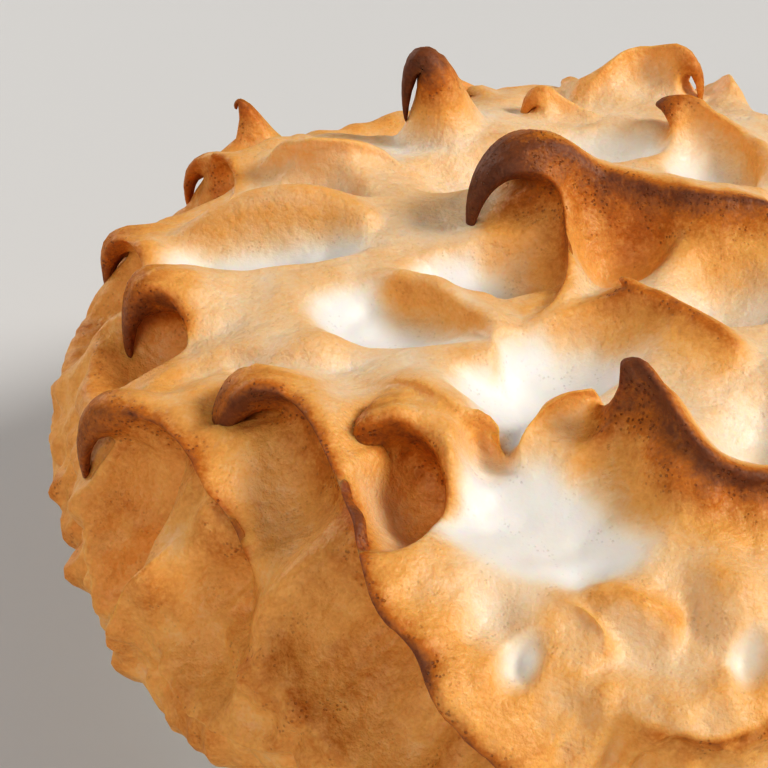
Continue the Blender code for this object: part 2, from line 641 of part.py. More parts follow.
def make_crust(collection):
    """The crust: solid through, because the pie is uncut. Its rim is a rope of even flutes,
    so each point of the rim moves in and out, and up and down, with a cosine of its angle."""
    rim_under = DISH_RIM_HEIGHT - DISH_RIM_THICK
    # radius, height, share of the flute's depth
    profile = [
        (DISH_BASE_RADIUS - 3.4, DISH_BASE_THICK + GAP, 0),
        (DISH_SIDE_TOP_RADIUS - DISH_WALL - 1.5, rim_under + GAP, 0),
        (DISH_SIDE_TOP_RADIUS - 2.4, DISH_RIM_HEIGHT + GAP, 0),
        (CRUST_RIM_RADIUS - 3, DISH_RIM_HEIGHT + GAP, 0),
        (CRUST_RIM_RADIUS, DISH_RIM_HEIGHT + 2.4, 1.0),
        (CRUST_RIM_RADIUS - 0.6, CRUST_RIM_TOP - 2.2, 1.0),
        (CRUST_RIM_RADIUS - 3.6, CRUST_RIM_TOP, 0.8),
        (CRUST_INNER_RADIUS + 2.5, CRUST_RIM_TOP - 0.8, 0.3),
        (CRUST_INNER_RADIUS, CRUST_TOP, 0),
    ]
    steps = FLUTES * STEPS_PER_FLUTE
    angle = np.arange(steps) * 2 * np.pi / steps
    wave = np.cos(FLUTES * angle)
    rings = []
    for radius, height, share in profile:
        wide = radius + FLUTE_DEPTH * share * wave
        dip = 0.5 * FLUTE_DEPTH * share * (height > DISH_RIM_HEIGHT + 3)
        tall = height - dip * wave
        rings.append(np.column_stack([wide * np.cos(angle), wide * np.sin(angle), tall]))
    points = np.vstack(rings)
    faces = [tuple(range(steps - 1, -1, -1))]
    for ring in range(len(profile) - 1):
        low = ring * steps + np.arange(steps)
        after = ring * steps + (np.arange(steps) + 1) % steps
        faces += np.column_stack([low, after, after + steps, low + steps]).tolist()
    faces.append(tuple(range(len(points) - steps, len(points))))
    pastry = principled("baked pastry", (0.52, 0.27, 0.09), 0.6)
    return add_piece("crust", points, faces, pastry, collection)


def make_seat_cutter(collection):
    """What the meringue is cut with: the room of the crust and its rim, and a little more."""
    profile = [
        (0, CRUST_TOP - SEAT_CUT_DEPTH),
        (SEAT_RADIUS + 3, CRUST_TOP - SEAT_CUT_DEPTH),
        (SEAT_RADIUS + 3, CRUST_RIM_TOP + SEAT_CLEARANCE),
        (CRUST_INNER_RADIUS - 1.5, CRUST_RIM_TOP + SEAT_CLEARANCE),
        (CRUST_INNER_RADIUS - 2.5, CRUST_TOP + GAP),
        (0, CRUST_TOP + GAP),
    ]
    cutter = add_turned("seat cutter", profile, DISH_STEPS, None, collection)
    cutter.hide_render = True
    cutter.display_type = "WIRE"
    return cutter


def make_meringue(collection, cutter):
    """The meringue: its skin closed by a flat underside, fused so that a hook whose tip lies
    on the skin is one body with it, thinned to a light solid, and cut to sit on the crust."""
    skin = meringue_skin(SKIN_LINES)
    index = np.arange(SKIN_LINES**2).reshape(SKIN_LINES, SKIN_LINES)
    cells = np.stack([index[:-1, :-1], index[:-1, 1:], index[1:, 1:], index[1:, :-1]], axis=-1)
    edge = np.concatenate([index[0, :-1], index[:-1, -1], index[-1, :0:-1], index[:0:-1, 0]])
    lower = skin[edge] * (UNDERSIDE_SHARE, UNDERSIDE_SHARE, 0)
    lower += (0, 0, CRUST_TOP - UNDERSIDE_DROP)
    below = np.arange(len(edge)) + len(skin)
    wall = np.stack([edge, below, np.roll(below, -1), np.roll(edge, -1)], axis=-1)
    faces = [*cells.reshape(-1, 4).tolist(), *wall.tolist(), below[::-1].tolist()]
    foam = principled("baked meringue", (0.80, 0.52, 0.24), 0.45)
    meringue = add_piece("meringue", np.vstack([skin, lower]), faces, foam, collection)
    fuse = meringue.modifiers.new("fuse", "REMESH")
    fuse.mode = "VOXEL"
    fuse.voxel_size = FUSE_VOXEL
    fuse.use_smooth_shade = True
    thin = meringue.modifiers.new("thin", "DECIMATE")
    thin.ratio = KEPT_SHARE
    cut = meringue.modifiers.new("seat", "BOOLEAN")
    cut.operation = "DIFFERENCE"
    cut.solver = "EXACT"
    cut.object = cutter
    return meringue


def main():
    for thing in list(bpy.data.objects):
        bpy.data.objects.remove(thing)
    pie = bpy.data.collections.new("lemon meringue pie")
    cutters = bpy.data.collections.new("cutters")
    cutters.hide_render = True
    for collection in (pie, cutters):
        bpy.context.scene.collection.children.link(collection)
    make_dish(pie)
    make_crust(pie)
    make_meringue(pie, make_seat_cutter(cutters))


main()
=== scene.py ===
# %% [markdown]
# # A lemon meringue pie
#
# The pie stands in its own dish: a plain glazed dish, a pastry crust with a fluted rim, and a
# tall meringue that a spoon scooped and pulled into crests and curling hooks before it was
# browned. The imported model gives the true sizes. This script keeps that frame and gives each
# of the three pieces its fine shape and its finish.

from math import radians

import bpy
import numpy as np
from mathutils import Euler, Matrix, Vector


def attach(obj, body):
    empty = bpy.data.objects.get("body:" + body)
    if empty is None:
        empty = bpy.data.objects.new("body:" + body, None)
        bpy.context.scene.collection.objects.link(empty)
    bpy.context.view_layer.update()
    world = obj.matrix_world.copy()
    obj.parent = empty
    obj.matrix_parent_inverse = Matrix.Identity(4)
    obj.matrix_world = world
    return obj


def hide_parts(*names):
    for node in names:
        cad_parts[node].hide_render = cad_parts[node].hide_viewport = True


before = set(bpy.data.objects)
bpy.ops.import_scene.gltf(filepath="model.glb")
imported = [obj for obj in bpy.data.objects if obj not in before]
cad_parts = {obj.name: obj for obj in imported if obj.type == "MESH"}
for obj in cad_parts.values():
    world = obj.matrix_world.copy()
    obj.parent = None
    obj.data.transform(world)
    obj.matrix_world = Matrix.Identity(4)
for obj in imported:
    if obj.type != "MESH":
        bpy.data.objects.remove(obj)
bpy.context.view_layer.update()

# %% [markdown]
# ## Where the pie is seen from
#
# The pie is looked at closely from the front, a good third of the way up to straight down,
# with a long lens. The view is turned a little to the left of the centre, so the left two
# thirds of the meringue fill the picture. A camera in Blender looks down its own -Z axis, so
# a pitch of 0 would look straight down, and 90 degrees looks level.

# %% Camera
CAMERA_DISTANCE = 0.52
CAMERA_ELEVATION = radians(34.0)
AIM_HEIGHT = 0.075
LOOK_DOWN = radians(33.8)
LOOK_LEFT = radians(7.0)

camera_data = bpy.data.cameras.new("close view")
camera_data.lens = 100.8
camera_data.sensor_width = 36.0
camera_data.clip_start = 0.01
camera = bpy.data.objects.new("close view", camera_data)
camera.location = (
    0,
    -CAMERA_DISTANCE * np.cos(CAMERA_ELEVATION),
    AIM_HEIGHT + CAMERA_DISTANCE * np.sin(CAMERA_ELEVATION),
)
camera.rotation_euler = Euler((radians(90) - LOOK_DOWN, 0, LOOK_LEFT))
bpy.context.scene.collection.objects.link(camera)
bpy.context.scene.camera = camera
print("the camera stands at", [round(value, 3) for value in camera.location])

# %% [markdown]
# ## Light
#
# Baked meringue is all relief, and relief needs a light from the side. The strongest lamp
# stands level with the pie's middle to the right, so the crests throw soft shadows to the left.
# A weaker one at the front opens those shadows, and a cool one behind on the left draws the far
# edges. All three are far away, as a studio's large windows would be, so the floor is evenly lit.
# The studio's walls are pale where they meet the floor, and dim to grey higher up.

# %% Lamps and world
def add_lamp(name, place, softness, strength, colour):
    """A far soft lamp that shines from this place towards the pie. Its light is as strong
    everywhere on the floor, and softness is how many degrees wide it looks from there."""
    lamp = bpy.data.lights.new(name, "SUN")
    lamp.angle = radians(softness)
    lamp.energy = strength
    lamp.color = colour
    holder = bpy.data.objects.new(name, lamp)
    holder.location = place
    holder.rotation_euler = (-Vector(place)).to_track_quat("-Z", "Y").to_euler()
    bpy.context.scene.collection.objects.link(holder)
    return holder


add_lamp("key lamp", (0.80, 0.02, 0.67), 20, 1.58, (1.0, 0.97, 0.94))
add_lamp("fill lamp", (-0.25, -0.95, 0.74), 26, 0.62, (1.0, 0.96, 0.93))
add_lamp("rim lamp", (-0.75, 0.62, 0.36), 22, 0.58, (0.98, 0.95, 0.94))

world = bpy.data.worlds.new("studio")
bpy.context.scene.world = world
world.use_nodes = True
walls = world.node_tree.nodes
way = walls.new("ShaderNodeTexCoord")
split = walls.new("ShaderNodeSeparateXYZ")
fall_off = walls.new("ShaderNodeValToRGB")
for stop, (height, grey) in zip((0, 1), ((0.10, 0.52), (0.26, 0.18))):
    fall_off.color_ramp.elements[stop].position = height
    fall_off.color_ramp.elements[stop].color = (grey, grey, grey, 1)
world.node_tree.links.new(way.outputs["Generated"], split.inputs["Vector"])
world.node_tree.links.new(split.outputs["Z"], fall_off.inputs["Fac"])
world.node_tree.links.new(fall_off.outputs["Color"], walls["Background"].inputs["Color"])
bpy.context.scene.view_settings.view_transform = "Standard"
bpy.context.scene.view_settings.look = "High Contrast"

# %% [markdown]
# ## The mound
#
# Under its crests the meringue is one plump cushion, boxier than half an egg, that bulges
# past the crust and turns under to meet it. A sphere would be too pointed, so the outline is a
# superellipse. Features are placed on a map of the skin: x to the right and y to the back, in
# millimetres walked over the skin from the crown. The map makes a place on the steep flank as
# easy to name as one on the top.

# %% Mound sizes
MM = 0.001
CROWN_HEIGHT = 110.0
WIDE_HEIGHT = 57.0
WIDE_RADIUS = 127.0
SEAT_HEIGHT = 49.0
SEAT_RADIUS = 110.0
BOXINESS = 3.5
UNDERCUT_BOXINESS = 2.2


def mound_profile(count=600):
    """The plain mound's outline from the crown down to its seat, as distance over the skin,
    radius, height and the two parts of the outward normal. Above the widest level it is
    |r/R|^n + |z/H|^n = 1, and below it a rounder arc of the same kind turns under."""
    angle = np.linspace(0, np.pi / 2, 900)
    radius = WIDE_RADIUS * np.sin(angle) ** (2 / BOXINESS)
    height = WIDE_HEIGHT + (CROWN_HEIGHT - WIDE_HEIGHT) * np.cos(angle) ** (2 / BOXINESS)
    under = angle[::-3][1:]
    power = 2 / UNDERCUT_BOXINESS
    radius = np.append(radius, SEAT_RADIUS + (WIDE_RADIUS - SEAT_RADIUS) * np.sin(under) ** power)
    height = np.append(height, WIDE_HEIGHT - (WIDE_HEIGHT - SEAT_HEIGHT) * np.cos(under) ** power)
    walked = np.append(0, np.cumsum(np.hypot(np.diff(radius), np.diff(height))))
    reach = np.linspace(0, walked[-1], count)
    radius = np.interp(reach, walked, radius)
    height = np.interp(reach, walked, height)
    out = -np.gradient(height, reach)
    up = np.gradient(radius, reach)
    size = np.hypot(out, up)
    return reach, radius, height, out / size, up / size


PROFILE = mound_profile()
SKIN_REACH = PROFILE[0][-1]
print(f"the skin is {SKIN_REACH:.0f} mm long from the crown to the crust")

# %% From the map to the mound
def on_mound(spots):
    """Points and outward normals of the plain mound at these spots of the map."""
    reach = np.hypot(spots[:, 0], spots[:, 1])
    way = spots / np.maximum(reach, 1e-9)[:, None]
    radius, height, out, up = (np.interp(reach, PROFILE[0], column) for column in PROFILE[1:])
    points = np.column_stack([way * radius[:, None], height])
    normals = np.column_stack([way * out[:, None], up])
    return points, normals / np.linalg.norm(normals, axis=1, keepdims=True)


def frame_at(x, y, degrees):
    """A spot's point, its normal, and the direction on the skin that this map angle gives."""
    angle = np.radians(degrees)
    near = np.array([[x, y], [x + 0.5 * np.cos(angle), y + 0.5 * np.sin(angle)]], float)
    points, normals = on_mound(near)
    ahead = points[1] - points[0]
    ahead -= normals[0] * (ahead @ normals[0])
    return points[0], normals[0], ahead / np.linalg.norm(ahead)


def smooth_step(value):
    """0 below 0, 1 above 1, and an S-curve between them."""
    clipped = np.clip(value, 0, 1)
    return clipped * clipped * (3 - 2 * clipped)


# %% [markdown]
# ## Scoops
#
# The back of a spoon leaves oval hollows that meet in lips. Each one is a bowl whose height
# grows with the square of the distance from its middle. Where several bowls reach the same
# point the lowest wins, as it would for a real spoon, and a soft minimum rounds the lip.

# %% The scoops
# Each scoop: x, y, turn of its long axis in degrees, half length, half width, depth, and how
# white its bottom stayed.
SCOOPS = {
    "left pool": (-83, 4, 3, 27, 13, 6, 1),
    "wave pool": (-30, -6, 10, 18, 10, 7, 1),
    "crown pool": (0, -2, 10, 13, 9, 6, 1),
    "crown hollow": (-12, -45, 35, 24, 14, 7, 1),
    "left bowl": (-46, -27, -15, 23, 13, 6, 1),
    "near pool": (-11, -91, -15, 25, 16, 5, 0.9),
    "under left shoulder": (-107, -31, 80, 14, 11, 11, 0),
    "under near curl": (-39, -88, 75, 16, 10, 10, 0),
    "under long crest": (-76, -100, 58, 29, 13, 8, 0),
    "under left lip": (-108, -82, 40, 20, 12, 11, 0),
    "left edge": (-122, -4, 80, 14, 12, 8, 0),
    "left edge, farther": (-112, 40, 60, 14, 10, 7, 0),
    "behind left roll": (-76, 26, 0, 17, 7, 5, 0),
    "behind great wave": (-30, 44, 20, 26, 12, 4, 0),
    "beside horn": (-62, 80, 30, 18, 12, 4, 0),
    "far pool": (-4, 62, 0, 18, 10, 5, 0.6),
    "far right": (24, 50, -20, 14, 10, 5, 0.7),
    "right of crown": (26, -14, 10, 14, 11, 4, 0.3),
    "near right": (38, -62, 20, 18, 12, 5, 0.3),
    "left slope": (-84, -48, 20, 12, 8, 3, 0),
    "near slope": (-25, -112, 20, 20, 12, 2, 0.38),
    "near slope, right": (12, -112, 10, 20, 12, 3, 0.25),
    "neck": (-21, -70, 75, 18, 8, 5, 1),
    "under long crest, lower": (-44, -126, -45, 28, 13, 8, 0),
    "under back lip": (-8, 145, 0, 22, 11, 6, 0),
    "under back fold": (-70, 130, 35, 16, 9, 5, 0),
    "under back rise": (36, 136, 70, 16, 10, 5, 0),
    "low dimple": (-12, -120, 60, 5, 4, 2, 0.9),
    "right dimple": (31, -115, 70, 6, 4, 2, 0.7),
    # The white in this small dip is a painted highlight.
    "gloss": (-1, -100, 10, 8, 5, 3, 1),
    "under back left lip": (-84, 136, 35, 18, 10, 5, 0),
    "under back left wave": (-126, 100, 50, 18, 11, 6, 0),
    "under front right lip": (60, -152, -25, 20, 10, 5, 0),
    "right flank": (118, -30, 80, 18, 12, 6, 0),
    "left flank": (-133, -58, 80, 26, 14, 2, 0),
}
SCOOP_LIP = 4.0
LIP_ROUNDING = 1.0


def scooped(points, scoops):
    """Height over the mound, and how white the skin stayed. The height is the soft minimum of
    bowls -d + (d + lip) * q, where q is the squared distance over the size. The white fades
    from the middle of its bowl to the edge."""
    bowls = [np.full(len(points), SCOOP_LIP)]
    white = np.zeros(len(points))
    for x, y, turn, half_length, half_width, depth, stays_white in scoops:
        centre, _, along = frame_at(x, y, turn)
        offset = points - centre
        run = offset @ along
        rest = np.maximum((offset**2).sum(axis=1) - run**2, 0)
        q = (run / half_length) ** 2 + rest / half_width**2
        bowls.append(-depth + (depth + SCOOP_LIP) * q)
        white = np.maximum(white, stays_white * smooth_step((1.12 - q) / 0.6))
    bowls = np.array(bowls)
    lowest = bowls.min(axis=0)
    height = lowest - LIP_ROUNDING * np.log(np.exp((lowest - bowls) / LIP_ROUNDING).sum(axis=0))
    return height, white


# %% Soft unevenness
def ripple(points, length, seed, waves=24):
    """A soft random unevenness: the sum of plane waves of about this length."""
    chance = np.random.default_rng(seed)
    ways = chance.normal(size=(waves, 3))
    ways /= np.linalg.norm(ways, axis=1, keepdims=True)
    pace = chance.uniform(0.6, 1.5, waves) * 2 * np.pi / length
    start = chance.uniform(0, 2 * np.pi, waves)
    return np.cos(points @ (ways * pace[:, None]).T + start).sum(axis=1) / np.sqrt(waves / 2)


# %% [markdown]
# ## Crests
#
# Between the hollows the spoon drew the foam up into long crests that lean over one side like
# breaking waves. A crest is a path over the skin with a height at each stop. Away from the
# path the height falls to nothing. The front falls as a hollow curve, so its top is a sharp
# lip, and the back may be rolled, which is an S-curve with a rounded top. The lip is also
# carried sideways over its front, and that is what makes the overhang.

# %% The crests
# Each crest: its stops as (x, y, height), walked so that the side it leans over is on the left,
# then the width of that front and of its back, its overhang as a share of its height,
# how round its lip is, how full its front is, how baked its top is, and how dark its front
# is, which is browning and painted shade in the hollow under the lip.
CRESTS = {
    "left shoulder": (
        [(-93, -34, 1), (-94, -32, 6), (-98, -26, 10), (-103, -20, 12)],
        14, 22, 0.9, 2, 0, 0.72, 0.75,
    ),
    "left arch edge": (
        [(-112, -3, 1), (-112, 2, 6), (-114, 7, 10), (-118, 16, 11)],
        12, 18, 0.9, 2, 0, 0.6, 0.5,
    ),
    "left loop edge": (
        [(-95, 33, 5), (-96, 39, 9), (-98, 44, 13), (-101, 47, 15)],
        12, 17, 0.9, 2, 0, 0.5, 0.45,
    ),
    "left roll": (
        [(-59, 11, 7), (-68, 14, 9), (-76, 14, 10), (-90, 14, 9), (-105, 13, 5)],
        8, 14, 0.3, 2, 0.8, 0.03, 0.26,
    ),
    "far leaf": (
        [(-57, 42, 9), (-65, 36, 15), (-75, 34, 16), (-84, 38, 14), (-90, 44, 8)],
        7, 18, 0.6, 2, 0, 0.1, 0.16,
    ),
    "great wave": (
        [(35, 16, 14), (19, 14, 16), (8, 17, 16), (-4, 20, 17), (-12, 20, 18), (-16, 21, 18)],
        27, 26, 0.25, 2, 0.4, 0.62, 0.85,
    ),
    "wave wall": (
        [(-19, -27, 3), (-14, -25, 6), (-11, -17, 9), (-11, -9, 12), (-12, 2, 15), (-14, 10, 17)],
        17, 10, 0.4, 1.5, 0, 0.4, 0.72,
    ),
    "crown wave": (
        [
            (34, -42, 2), (30, -41, 6), (26, -39, 9), (20, -33, 11), (12, -27, 12), (4, -24, 12),
            (-2, -24, 8), (-9, -26, 6), (-16, -30, 4), (-22, -35, 2),
        ],
        18, 13, 0.3, 2.6, 0.35, 0.55, 0.5,
    ),
    "bowl rim": (
        [
            (-24, -43, 1), (-24, -39, 4), (-27, -32, 6), (-34, -26, 6), (-41, -20, 6),
            (-48, -17, 5), (-53, -16, 2),
        ],
        9, 9, 0.2, 1.6, 0, 0.3, 0.34,
    ),
    "tongue": (
        [(-22, -71, 5), (-28, -70, 10), (-35, -65, 12), (-42, -61, 11), (-48, -57, 7), (-54, -50, 3)],
        10, 15, 0.6, 2, 0, 0.3, 0.32,
    ),
    "near curl": (
        [(-30, -98, 0), (-30, -91, 2), (-32, -84, 6), (-35, -78, 9), (-40, -75, 12), (-43, -73, 12)],
        13, 14, 0.7, 1.8, 0, 0.55, 0.7,
    ),
    "long crest": (
        [
            (-32, -119, 14), (-40, -113, 14), (-45, -104, 14), (-49, -94, 13), (-53, -86, 13),
            (-59, -75, 14), (-65, -68, 15), (-70, -63, 15),
        ],
        18, 24, 0.75, 2.4, 0, 0.72, 0.88,
    ),
    "left lip": (
        [
            (-74, -95, 1), (-76, -89, 4), (-80, -82, 8), (-85, -74, 11), (-90, -68, 12),
            (-94, -63, 12), (-98, -61, 12),
        ],
        15, 20, 0.8, 2.4, 0, 0.64, 0.72,
    ),
    "near peak": (
        [
            (37, -80, 9), (29, -82, 11), (22, -81, 13), (17, -78, 16), (13, -74, 19),
            (10, -70, 21), (7, -68, 21),
        ],
        20, 15, 0.4, 2.2, 0.2, 0.8, 0.9,
    ),
    "near leaf": (
        [(-2, -61, 11), (-7, -63, 11), (-12, -67, 9), (-16, -73, 4)],
        11, 7, 0.35, 1.4, 0.2, 0.3, 0.36,
    ),
    "far wave": (
        [(11, 97, 20), (3, 98, 21), (-4, 93, 17), (-11, 92, 11)],
        10, 12, 0.4, 2.2, 0.3, 0.26, 0.14,
    ),
    "far petal": (
        [(7, 105, 7), (-1, 98, 10), (-9, 90, 11), (-14, 101, 9)],
        6, 8, 0.1, 1.6, 0.5, 0.15, 0.15,
    ),
    "far loop edge": (
        [(-9, 77, 1), (-11, 80, 6), (-16, 80, 10), (-20, 81, 11)],
        8, 11, 0.5, 2.4, 0, 0.2, 0.2,
    ),
    "far fold": (
        [(34, 42, 2), (33, 51, 6), (29, 60, 10), (22, 65, 13), (17, 66, 14)],
        12, 14, 0.5, 2.4, 0, 0.3, 0.28,
    ),
    "right rise": (
        [(35, 98, 4), (31, 97, 10), (26, 99, 15), (23, 108, 12), (20, 106, 7)],
        8, 10, 0.3, 2.4, 0.2, 0.15, 0.1,
    ),
    "low lip": (
        [
            (-125, -101, 2), (-119, -101, 8), (-111, -99, 11), (-102, -96, 12), (-94, -93, 10),
            (-88, -90, 3),
        ],
        7, 9, 0.5, 1.6, 0.2, 0.35, 0.3,
    ),
    "low fold": (
        [(-62, -139, 1), (-70, -136, 6), (-80, -131, 9), (-91, -123, 9), (-100, -116, 3)],
        9, 11, 0.5, 2, 0.2, 0.34, 0.2,
    ),
    "near ridge": (
        [(7, -139, 3), (1, -130, 6), (-3, -126, 5), (-6, -122, 2)],
        12, 14, 0, 2.4, 0.6, 0.2, 0.2,
    ),
    "far rise": (
        [(-81, 56, 9), (-87, 52, 11), (-94, 47, 11), (-103, 58, 9)],
        14, 16, 0, 2.4, 1, 0.2, 0.1,
    ),
    "knuckle": (
        [(-55, -42, 3), (-61, -42, 7), (-67, -41, 7), (-73, -40, 4)],
        10, 9, 0, 2.4, 1, 0.12, 0.1,
    ),
    "shoulder swell": ([(-82, -48, 4), (-87, -52, 7), (-93, -54, 6)], 12, 10, 0, 2.4, 1, 0.15, 0.1),
    "small curl": (
        [(-33, 103, 3), (-40, 102, 9), (-45, 99, 14), (-46, 100, 16)],
        8, 10, 0.3, 2, 0, 0.35, 0.2,
    ),
    "near cheek": ([(6, -74, 11), (8, -81, 12), (13, -87, 11), (21, -90, 9)], 9, 10, 0, 2, 1, 0.5, 0.5),
    "near mound": (
        [(-1, -110, 3), (4, -109, 6), (10, -109, 7), (16, -111, 4)],
        11, 9, 0.2, 2, 0.6, 0.15, 0.35,
    ),
    "right mound": (
        [(20, -88, 4), (24, -96, 7), (27, -105, 7), (28, -113, 4)],
        10, 11, 0, 2.4, 1, 0.1, 0.1,
    ),
    "low curl": (
        [(3, -120, 2), (3, -116, 5), (-1, -112, 6), (-6, -109, 3)],
        7, 6, 0.5, 1.6, 0, 0.3, 0.3,
    ),
    "nub": ([(-43, 64, 6), (-40, 66, 10), (-37, 66, 6)], 5, 5, 0, 1.4, 1, 0.75, 0.6),
    "back lip": (
        [(-34, 120, 1), (-24, 125, 6), (-10, 129, 9), (4, 130, 10), (14, 127, 10)],
        15, 18, 0.7, 2.2, 0, 0.62, 0.4,
    ),
    "back fold": (
        [(-84, 104, 2), (-76, 110, 6), (-64, 117, 8), (-52, 121, 7), (-44, 127, 2)],
        10, 14, 0.5, 2, 0.2, 0.4, 0.25,
    ),
    "back rise": (
        [(58, 152, 2), (54, 140, 7), (50, 128, 9), (45, 119, 9)],
        12, 16, 0.6, 2.2, 0, 0.55, 0.35,
    ),
    "low ridge": (
        [(38, -124, 8), (30, -128, 10), (22, -130, 10), (11, -129, 9), (2, -126, 4)],
        16, 15, 0.3, 2.4, 0.3, 0.12, 0.6,
    ),
    "long crest, lower": (
        [
            (10, -148, 7), (-2, -144, 11), (-12, -140, 13), (-25, -131, 14), (-34, -121, 14),
            (-41, -114, 14), (-45, -104, 14), (-48, -97, 11),
        ],
        17, 22, 0.75, 2.6, 0, 0.8, 0.78,
    ),
    "back left lip": (
        [(-96, 108, 1), (-90, 114, 6), (-79, 123, 9), (-66, 131, 7), (-56, 136, 2)],
        11, 16, 0.6, 2, 0.2, 0.45, 0.3,
    ),
    "back left wave": (
        [(-128, 66, 1), (-124, 76, 6), (-117, 88, 8), (-107, 97, 7), (-98, 101, 2)],
        12, 18, 0.6, 2, 0.1, 0.5, 0.35,
    ),
    "front low lip": (
        [(24, -150, 1), (12, -157, 7), (-4, -159, 8), (-20, -154, 7), (-34, -147, 2)],
        11, 16, 0.6, 2, 0.2, 0.45, 0.3,
    ),
    "front right lip": (
        [(94, -116, 1), (84, -126, 7), (70, -134, 8), (56, -139, 7), (44, -143, 2)],
        12, 17, 0.6, 2, 0.2, 0.5, 0.35,
    ),
    "right low lip": (
        [(148, 32, 1), (154, 16, 7), (156, -2, 8), (151, -20, 7), (144, -34, 2)],
        12, 17, 0.6, 2, 0.2, 0.45, 0.3,
    ),
    "right wave": (
        [(118, -84, 2), (127, -70, 8), (132, -54, 9), (132, -40, 4)],
        14, 18, 0.4, 2.4, 0.4, 0.5, 0.3,
    ),
}

# %% A path through a few stops
def through(stops, per_span):
    """A Catmull-Rom curve through these stops, with this many points to each span."""
    stops = np.array(stops, float)
    ends = np.vstack([2 * stops[0] - stops[1], stops, 2 * stops[-1] - stops[-2]])
    t = np.linspace(0, 1, per_span, endpoint=False)[:, None]
    spans = [
        0.5 * (2 * b + (c - a) * t + (2 * a - 5 * b + 4 * c - d) * t**2 + (3 * b - a - 3 * c + d) * t**3)
        for a, b, c, d in zip(ends, ends[1:], ends[2:], ends[3:])
    ]
    return np.vstack([*spans, stops[-1:]])


def smooth_path(stops, step=1.0):
    """The curve through these stops, with its points evenly this far apart on the map."""
    path = through(stops, 24)
    walked = np.append(0, np.cumsum(np.linalg.norm(np.diff(path[:, :2], axis=0), axis=1)))
    marks = np.linspace(0, walked[-1], max(4, int(walked[-1] / step)))
    return np.column_stack([np.interp(marks, walked, column) for column in path.T])


# %% The section of a crest
def bezier(ends, t):
    """A cubic curve a(1-t)^3 + 3b t(1-t)^2 + 3c t^2(1-t) + d t^3 through four (x, y) ends."""
    share = ((1 - t) ** 3, 3 * t * (1 - t) ** 2, 3 * t**2 * (1 - t), t**3)
    return [sum(part * end[axis] for part, end in zip(share, ends)) for axis in (0, 1)]


def crest_section(across, tall, overhang, front, back, roll):
    """Where the section of a crest carries the skin that lay this far across its path. The
    lip stays over the path. The back is a curve that rises to it, and the front is one that
    turns in under it and then runs out. A roll of 1 makes the front as full as the back."""
    drop = 0.15 * tall * (1 - roll)
    lip = (0, tall - drop)
    behind = [(-back, 0), (-0.55 * back, 0), (-0.45 * back, 1.02 * tall), lip]
    hollow = (-1.6 * overhang, 0.42 * tall)
    full = (0.45 * front, tall - drop)
    turn = [(1 - roll) * hollow[axis] + roll * full[axis] for axis in (0, 1)]
    before = [lip, turn, (0.55 * roll * front, 0), (front, 0)]
    back_way = bezier(behind, np.clip(1 + across / back, 0, 1))
    front_way = bezier(before, np.clip(across / front, 0, 1))
    forth, height = (np.where(across < 0, *pair) for pair in zip(back_way, front_way))
    outside = (across < -back) | (across > front)
    return np.where(outside, across, forth), np.where(outside, 0, height)


# %% The ground that the crests stand on
CROWN_LEVEL = 104.0
FLANK_LEVEL = 92.0


def ground(points, scoops):
    """Height of the scooped and uneven skin over the plain mound, and how white it stayed.
    The crown is the smoothest, and the flank below it has the most lumps."""
    height, white = scooped(points, scoops)
    lumps = 0.25 + 0.75 * smooth_step((CROWN_LEVEL - points[:, 2]) / 20)
    steep = smooth_step((FLANK_LEVEL - points[:, 2]) / 25)
    swells = (1 - 0.2 * steep) * ripple(points, 38, 3) + 0.8 * steep * ripple(points, 26, 9)
    fine = 0.7 * ripple(points, 13, 5) + 0.45 * ripple(points, 6, 7)
    height = height + swells + (lumps + 0.55 * steep) * fine
    return height, white


# %% How a crest moves the skin
TOAST_SPREAD = 2.4  # how far a lip's toast reaches down its front, as a share of its rounding
BACK_SHARE = 0.7  # and how much of that it reaches down its back


